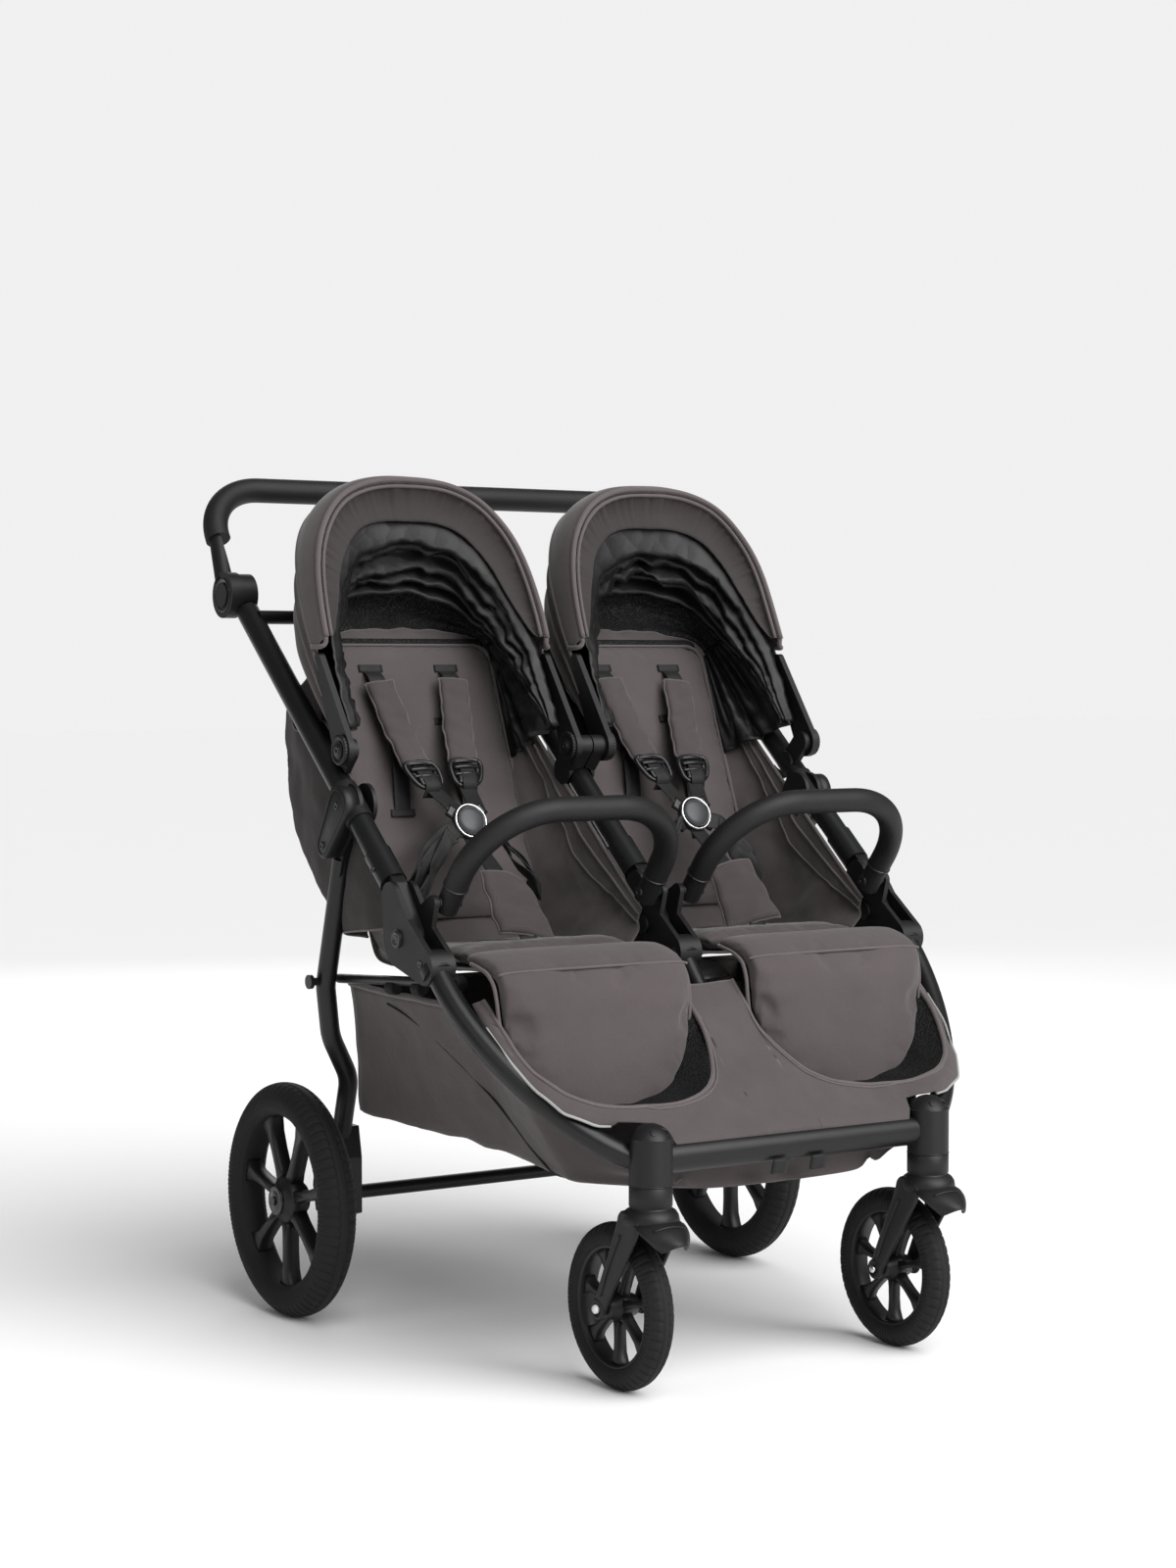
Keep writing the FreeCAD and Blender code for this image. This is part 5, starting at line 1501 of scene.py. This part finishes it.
# ---- wheels -------------------------------------------------------------------------------
def tread_tyre(name, node, body, blocks):
    """A tyre turned about its axle, with grooved block tread and ribbed side walls."""
    low, high = box(node)
    centre = (low + high) / 2
    outer = (high[2] - low[2]) / 2
    half = (high[0] - low[0]) / 2
    inner = outer - 1.62 * half
    shoulder = outer - 0.55 * half
    side = [(0.60, inner), (0.90, inner * 0.7 + shoulder * 0.3), (1, inner * 0.35 + shoulder * 0.65),
            (0.9, shoulder), (0.52, outer - 0.13 * half)]
    near = [(0, -share * half, radius) for share, radius in side]
    far = [(0, share * half, radius) for share, radius in reversed(side)]
    profile = smoothed([*near, (0, 0, outer), *far], 1.5)[:, 1:]
    turn = np.linspace(0, 2 * np.pi, blocks * 8, endpoint=False)
    u = profile[:, 0] / half
    radius = np.broadcast_to(profile[:, 1], (len(turn), len(profile))).copy()
    crown = np.clip((profile[:, 1] - shoulder + 2) / 4, 0, 1)[None, :]
    phase = (turn[:, None] * blocks / (2 * np.pi) + 0.5 * (u[None, :] > 0) + 0.25 * np.abs(u)[None, :]) % 1
    cross = (phase < 0.22) & (np.abs(u)[None, :] > 0.20)
    ring = (np.abs(np.abs(u) - 0.24) < 0.055)[None, :]
    radius -= 1.9 * crown * (cross | ring)
    side_rib = 0.5 * np.sin(turn[:, None] * blocks * 2) * (1 - crown) * (np.abs(u)[None, :] > 0.93)
    x = centre[0] + np.broadcast_to(profile[:, 0], radius.shape) + np.sign(u)[None, :] * (side_rib - 0.5)
    grid = np.stack([x, centre[1] + radius * np.cos(turn)[:, None],
                     centre[2] + radius * np.sin(turn)[:, None]], axis=-1)
    count = len(profile)
    faces = quads(len(turn), count, wrap_rows=True)
    for row in range(len(turn)):
        after = (row + 1) % len(turn)
        faces.append((row * count, after * count, after * count + count - 1, row * count + count - 1))
    made = piece(name, (grid.reshape(-1, 3), faces), MATERIAL["tyre"], body)
    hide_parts(node)


SPOKES = 7


def spoke_mesh(hub, rim, half_thick, turn):
    """A flared spoke about the X axis: slim by the hub, wide where it meets the rim, with bevelled edges."""
    reach = rim - hub
    outline = [(hub - 3, 8.5), (hub + 0.14 * reach, 6.2), (hub + 0.45 * reach, 5.8),
               (hub + 0.72 * reach, 7.4), (hub + 0.90 * reach, 12.5), (rim + 3, 21.0)]
    outline = outline + [(radius, -width) for radius, width in reversed(outline)]
    outline = np.array(outline) * np.array([1, min(1.0, rim / 100)])
    rings = []
    for x, inset in ((-half_thick, 1.4), (-half_thick + 1.4, 0), (half_thick - 1.4, 0), (half_thick, 1.4)):
        across = outline[:, 1] - np.sign(outline[:, 1]) * inset
        y = outline[:, 0] * math.cos(turn) - across * math.sin(turn)
        z = outline[:, 0] * math.sin(turn) + across * math.cos(turn)
        rings.append(np.stack([np.full(len(outline), x), y, z], axis=-1))
    return np.concatenate(rings), tube_faces(4, len(outline))


def build_rim(place, side, outer, hub, hub_half, ring_half):
    """Moulded rim: a lipped ring, a stepped hub with a round cap and seven flared spokes."""
    low, high = box(f"{place}_rim_{side}")
    centre = (low + high) / 2
    lip = outer - 9
    ring = [(lip, -ring_half), (lip + 1.5, -ring_half - 1.6), (lip + 4, -ring_half - 1.8),
            (outer - 0.4, -ring_half), (outer - 0.4, ring_half), (lip + 4, ring_half + 1.8),
            (lip + 1.5, ring_half + 1.6), (lip, ring_half)]
    turn = np.linspace(0, 2 * np.pi, 96, endpoint=False)
    rows = [np.stack([np.full(96, x), radius * np.cos(turn), radius * np.sin(turn)], axis=-1)
            for radius, x in ring]
    parts = [(np.concatenate(rows), quads(len(rows), 96, wrap_rows=True, wrap_columns=True))]
    cap = hub * 0.62
    middle = [(0.3, -hub_half), (cap, -hub_half), (cap + 1, -hub_half + 1.2), (cap + 2.5, -hub_half + 3.5),
              (hub * 0.9, -ring_half * 0.75), (hub, -ring_half * 0.6), (hub, ring_half * 0.6),
              (hub * 0.9, ring_half * 0.75), (cap + 2.5, hub_half - 3.5), (cap + 1, hub_half - 1.2),
              (cap, hub_half), (0.3, hub_half)]
    parts.append(lathe_mesh(middle, (0, 0, 0), (1, 0, 0), 56))
    for number in range(SPOKES):
        parts.append(spoke_mesh(hub, lip, ring_half * 0.62,
                                2 * math.pi * number / SPOKES + math.radians(12)))
    moved = [(np.asarray(points) + centre, faces) for points, faces in parts]
    rim = piece(f"{place}_wheel_rim_{side}", moved, MATERIAL["rim"], f"{place}_wheel_{side}")
    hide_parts(f"{place}_rim_{side}")


def build_wheels():
    """Treaded tyres, moulded rims and the rear hub caps."""
    for side, sign in SIDES:
        tread_tyre("rear_tread_" + side, "rear_tyre_" + side, "rear_wheel_" + side, blocks=72)
        tread_tyre("front_tread_" + side, "front_tyre_" + side, "front_wheel_" + side, blocks=50)
        build_rim("rear", side, outer=122, hub=30, hub_half=19, ring_half=15.5)
        build_rim("front", side, outer=76, hub=17, hub_half=21, ring_half=11.2)
        low, high = box("rear_rim_" + side)
        at = (low + high) / 2 + np.array([sign * (high[0] - low[0]) / 2, 0, 0])
        cap = [(0.4, 0), (19, 0), (19, 2.2), (17.6, 3.4), (15.4, 2.4), (12, 3.8), (0.4, 4.6)]
        piece("rear_hub_cap_" + side, lathe_mesh(cap, at, (sign, 0, 0), 48), MATERIAL["glossy"],
              "rear_wheel_" + side)


# ---- casters ------------------------------------------------------------------------------
CASTER_X, CASTER_Y = 202.0, -401.0
FRONT_AXLE = joint_at("front_spin_left")
LEG_AT = 27.6            # each fork leg, from the caster's middle plane


def blade_mesh(path, half_widths, half_thick, sides=20):
    """A flat round-edged bar along a path in a side-view plane; its width lies in that plane."""
    path = np.asarray(path, float)
    tangents = unit(np.gradient(path, axis=0))
    across = np.cross(tangents, np.array([1.0, 0, 0]))
    turn = np.linspace(0, 2 * np.pi, sides, endpoint=False)
    wide = np.sign(np.cos(turn)) * np.abs(np.cos(turn)) ** 0.7
    deep = np.sign(np.sin(turn)) * np.abs(np.sin(turn)) ** 0.7
    half_thick = np.broadcast_to(np.asarray(half_thick, float), (len(path),))
    points = path[:, None] + across[:, None] * (wide[None, :] * np.asarray(half_widths)[:, None])[..., None]
    points = points + np.array([1.0, 0, 0]) * (deep[None, :] * half_thick[:, None])[..., None]
    return points.reshape(-1, 3), tube_faces(len(path), sides)


def screw_mesh(centre, axis, radius, height=1.6):
    """A round screw head with a socket."""
    profile = [(0.3, height * 0.2), (radius * 0.42, height * 0.2), (radius * 0.46, height),
               (radius * 0.8, height), (radius, height * 0.5), (radius, -0.5), (0.3, -0.5)]
    return lathe_mesh(profile, centre, axis, 28)


def fork_leg(x):
    """One leg's blade, from beside the crown down past the axle."""
    spine = smoothed([(x, -400, 217), (x, -395, 199), (x, -377, 165), (x, -355, 128), (x, *FRONT_AXLE),
                      (x, -335.5, 86)], 3)
    share = np.linspace(0, 1, len(spine))
    half = 23 - 13 * share ** 0.8
    half[:5] *= np.array([0.45, 0.72, 0.86, 0.94, 0.98])
    half[-4:] *= np.array([0.97, 0.88, 0.7, 0.35])
    thick = 3.9 + 0.8 * np.sin(np.pi * share)
    return blade_mesh(spine, half, thick)


def build_casters():
    """Rounded forks in place of the plain ones: collar, ring crown, legs and the lock's visor lip."""
    for side, _ in SIDES:
        body = "caster_" + side
        stem = np.array([CASTER_X, CASTER_Y, 0.0])
        collar = [(10, 246.3), (24.4, 246.3), (25.0, 245.4), (25.0, 224), (24.2, 223), (24.2, 221.5),
                  (25.6, 220.5), (29.0, 218), (32.0, 213.5), (33.0, 208), (31.8, 202), (28.5, 198.5),
                  (10, 200.5)]
        parts = [lathe_mesh(collar, stem, (0, 0, 1), 64)]
        parts.append(lathe_mesh([(0.5, 284), (9.9, 284), (9.9, 240), (0.5, 240)], stem, (0, 0, 1), 24))
        for offset in (-LEG_AT, LEG_AT):
            parts.append(fork_leg(CASTER_X + offset))
            face = 1 if offset > 0 else -1
            at = (CASTER_X + offset, *FRONT_AXLE)
            boss = [(0.5, 0), (12, 0), (12.5, 3.4), (11, 4.8), (8.5, 5.0), (8.0, 4.0), (0.5, 4.0)]
            parts.append(lathe_mesh(boss, at, (face, 0, 0), 40))
            rib = smoothed([(CASTER_X + offset + face * 4.6, -386, 190),
                            (CASTER_X + offset + face * 5, -362, 148),
                            (CASTER_X + offset + face * 4.6, -346, 114)], 4)
            parts.append(pipe_mesh(rib, 1.7, 8))
        fork = sided("fork", side, parts, "plastic", body)
        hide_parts("caster_fork_" + side)
        seam_rings = ([(24.6, 247.6), (25.5, 247.3), (25.5, 246.7), (24.6, 246.4)],
                      [(24.8, 300.9), (25.6, 300.5), (25.6, 299.5), (24.8, 299.1)])
        rings = [lathe_mesh(ring, stem, (0, 0, 1), 64) for ring in seam_rings]
        window = smoothed([(CASTER_X - 9, CASTER_Y - 20, 306), (CASTER_X + 9, CASTER_Y - 20, 306),
                           (CASTER_X + 9, CASTER_Y - 14, 311.4), (CASTER_X - 9, CASTER_Y - 14, 311.4)], 2,
                          closed=True)
        rings.append(pipe_mesh(window, 0.8, 6, closed=True))
        sided("socket_rings", side, rings, "glossy", "root")
        build_visor_lip(side)
        head = [(0.4, 0), (5, 0), (5, 4.0), (3.6, 5.4), (0.4, 5.6)]
        bolt = [lathe_mesh(head, (CASTER_X + way * LEG_AT + way * 3.4, *FRONT_AXLE), (way, 0, 0), flats)
                for way, flats in ((1, 6 if side == "left" else 28), (-1, 6))]
        sided("caster_bolt", side, bolt, "silver" if side == "left" else "white", body)


def build_visor_lip(side):
    """Curved lip in front of the crown, narrower and turned up at its tip."""
    rows = []
    line = smoothed([(0, -417, 211), (0, -430, 208), (0, -445, 201), (0, -456, 193), (0, -461, 188)], 2.5)
    for number, (_, y, z) in enumerate(line):
        share = number / (len(line) - 1)
        half = 31.0 * (1 - 0.42 * share ** 3) - 2 * share
        across = np.linspace(-1, 1, 25)
        sink = 8 * np.abs(across) ** 2.2
        rows.append(np.stack([CASTER_X + half * across, y + (4 + 9 * share) * np.abs(across) ** 2.5,
                              z - sink], axis=-1))
    grid = np.array(rows)
    parts = [sheet_mesh(grid, 4.0)]
    rim = np.concatenate([grid[3:, 0], grid[-1, 1:-1], grid[:2:-1, -1]])
    parts.append(pipe_mesh(resampled(rim, 2.5), 2.3, 8))
    parts.append(pipe_mesh(resampled(grid[len(grid) // 2, 3:-3] + np.array([0, -1.2, 2.2]), 3), 1.4, 8))
    lip = sided("swivel_lip", side, parts, "plastic", "swivel_lock_" + side)
    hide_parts("swivel_lock_" + side)


# ---- brackets, hinges and trim ------------------------------------------------------------
def plate_mesh(outline, x0, x1, edge=1.6):
    """A plate from a convex side-view outline, with a bevelled outer face at x1."""
    outline = np.asarray(outline, float)
    middle = outline.mean(axis=0)
    inner = middle + (outline - middle) * (1 - edge / np.linalg.norm(outline - middle, axis=1).mean())
    step = edge * (1 if x1 > x0 else -1)
    rings = []
    for x, ring in ((x0, outline), (x1 - step, outline), (x1, inner)):
        rings.append(np.concatenate([np.full((len(ring), 1), x), ring], axis=1))
    return np.concatenate(rings), tube_faces(3, len(outline))


def tear_outline(first, first_r, second, second_r):
    """Two circles and their outer tangents, as one smooth convex outline."""
    first, second = np.array(first), np.array(second)
    heading = math.atan2(*(second - first)[::-1])
    lean = math.acos((first_r - second_r) / np.linalg.norm(second - first))
    points = []
    for centre, radius, start, end in ((first, first_r, heading + lean, heading + 2 * math.pi - lean),
                                       (second, second_r, heading - lean, heading + lean)):
        for angle in np.linspace(start, end, 22):
            points.append(centre + radius * np.array([math.cos(angle), math.sin(angle)]))
    return np.array(points)


def ribbed_disc(centre, face, radius=19.0, deep=6.5):
    """A round hinge disc with a toothed rim and a raised middle."""
    turn = np.linspace(0, 2 * np.pi, 120, endpoint=False)
    tooth = 0.8 * (np.sin(turn * 30) > 0)
    rows = []
    for share, height in ((0.04, 0), (1.0, 0), (1.0, deep * 0.65), (0.93, deep * 0.8), (0.74, deep * 0.8),
                          (0.70, deep * 0.6), (0.52, deep * 0.6), (0.48, deep), (0.04, deep)):
        reach = share * radius - (tooth if share == 1.0 else 0)
        rows.append(np.stack([np.full(120, centre[0] + face * height), centre[1] + reach * np.cos(turn),
                              centre[2] + reach * np.sin(turn)], axis=-1))
    return np.concatenate(rows), tube_faces(len(rows), 120)


BUMPER_X = 174.5
BUMPER_REACH = 141.5     # from its middle to each foot


BRACKET_X = RIB_X + 18.2  # the outer face of the leg brackets
FOLD_FACE_X = RIB_X + 18.5
HUB_FACE_X = RIB_X + 23.9
STRUT_X, STRUT_SLOPE = 318.5, -0.072
BUMPER_TILT = math.radians(129)


def build_bracket_trim(side):
    """The leg bracket's cover plate with its seam, and the screws of the brackets."""
    leg_pivot = joint_at("leg_fold")
    plate = plate_mesh(tear_outline(on_rib(207), 24, leg_pivot, 16), 352.6, BRACKET_X + 3.0)
    inset = tear_outline(on_rib(207), 19, leg_pivot, 11.5)
    line = np.concatenate([np.full((len(inset), 1), BRACKET_X + 3.1), inset], axis=1)
    sided("leg_cover", side, [plate, pipe_mesh(resampled(line, 3), 0.7, 6, closed=True)], "plastic",
          "upper_frame")
    spots = ((on_rib(207), BRACKET_X + 3, 5.0), (leg_pivot, BRACKET_X + 3, 5.0), (on_rib(95), 367.2, 4.0))
    upper = [screw_mesh((x, *spot), (1, 0, 0), radius) for spot, x, radius in spots]
    sided("upper_screws", side, upper, "glossy", "upper_frame")
    ring = [(6.0, 0), (9.6, 0), (9.6, 0.9), (8.6, 1.5), (7.0, 1.5), (6.0, 0.8)]
    lower = [lathe_mesh(ring, (FOLD_FACE_X, *FOLD), (1, 0, 0), 40),
             screw_mesh((FOLD_FACE_X, *FOLD), (1, 0, 0), 5.2, 1.2),
             screw_mesh((RIB_X + 16, -163, 486), (1, 0, 0), 4.2)]
    sided("fold_screws", side, lower, "steel", "root")


def build_canopy_hinges(side):
    """A ribbed disc and a screw on the canopy's outer and inner hinge."""
    outer_x = CANOPY_X + CANOPY_HALF + 1.2
    inner_x = CANOPY_X - CANOPY_HALF + 7.2
    discs = [ribbed_disc((x, *CANOPY_PIVOT), 1) for x in (outer_x, inner_x)]
    sided("canopy_discs", side, discs, "plastic", "canopy_" + side)
    screws = [screw_mesh((x, *CANOPY_PIVOT), (1, 0, 0), 5.5, 1.4)
              for x in (CANOPY_X + CANOPY_HALF + 7.4, CANOPY_X - CANOPY_HALF + 13.4)]
    sided("canopy_screws", side, screws, "glossy", "canopy_" + side)


def build_bar_trim(side):
    """Rubber bands on the side strut, rings and caps at the bumper's feet, and the handle hub's ring."""
    band = [(6.1, -8), (8.6, -8), (8.9, -7), (8.9, 7), (8.6, 8), (6.1, 8)]
    bands = [lathe_mesh(band, (STRUT_X, y, 440.5 + STRUT_SLOPE * y), (0, 1, STRUT_SLOPE), 28)
             for y in (-78, -14)]
    sided("strut_bands", side, bands, "tyre", "side_struts")
    tilt = np.array([0, math.cos(BUMPER_TILT), math.sin(BUMPER_TILT)])
    seams = []
    for x in (BUMPER_X - BUMPER_REACH, BUMPER_X + BUMPER_REACH):
        foot = np.array([x, *BUMPER_PIVOT])
        seams.append(lathe_mesh([(14.6, 24), (15.9, 24.6), (15.9, 26.8), (14.6, 27.4)], foot, tilt, 40))
        for way in (-1, 1):
            seams.append(screw_mesh(foot + np.array([way * 13.2, 0, 0]), (way, 0, 0), 7.0, 2.2))
    sided("bumper_trim", side, seams, "glossy", "bumper_" + side)
    groove = [(19.5, 0), (22.5, 0), (22.5, 0.8), (21.6, 1.3), (20.4, 1.3), (19.5, 0.8)]
    ring = lathe_mesh(groove, (HUB_FACE_X, *joint_at("handle_tilt")), (1, 0, 0), 48)
    sided("hub_ring", side, ring, "glossy", "handle")


def build_hardware():
    """All the small trim, then the grip's clip and the basket's two tabs in the middle."""
    for side, _ in SIDES:
        build_bracket_trim(side)
        build_canopy_hinges(side)
        build_bar_trim(side)
    _, high = box("handle_grip")
    middle = np.array([0, high[1] - 16.5, high[2] - 16.5])
    clip = [(16.3, -6), (18.0, -5), (18.4, 0), (18.0, 5), (16.3, 6)]
    piece("grip_clip", lathe_mesh(clip, middle, (1, 0, 0), 40), MATERIAL["glossy"], "handle")
    for x, place in ((-28, "near"), (28, "far")):
        tab = np.array([[(x + u, -414 + 5 * v, 262 - 17 * v) for u in (-11, -5, 5, 11)]
                        for v in np.linspace(0, 1, 6)])
        piece("basket_tab_" + place, sheet_mesh(tab, 2.0), MATERIAL["webbing"], "root")


finish_frame()
build_stage()
build_lights()
build_camera()
build_backrests()
build_seats()
build_bridge()
build_pouches()
build_calf_pads()
build_canopies()
build_apron()
build_basket()
build_bights()
build_harness()
build_wheels()
build_casters()
build_hardware()
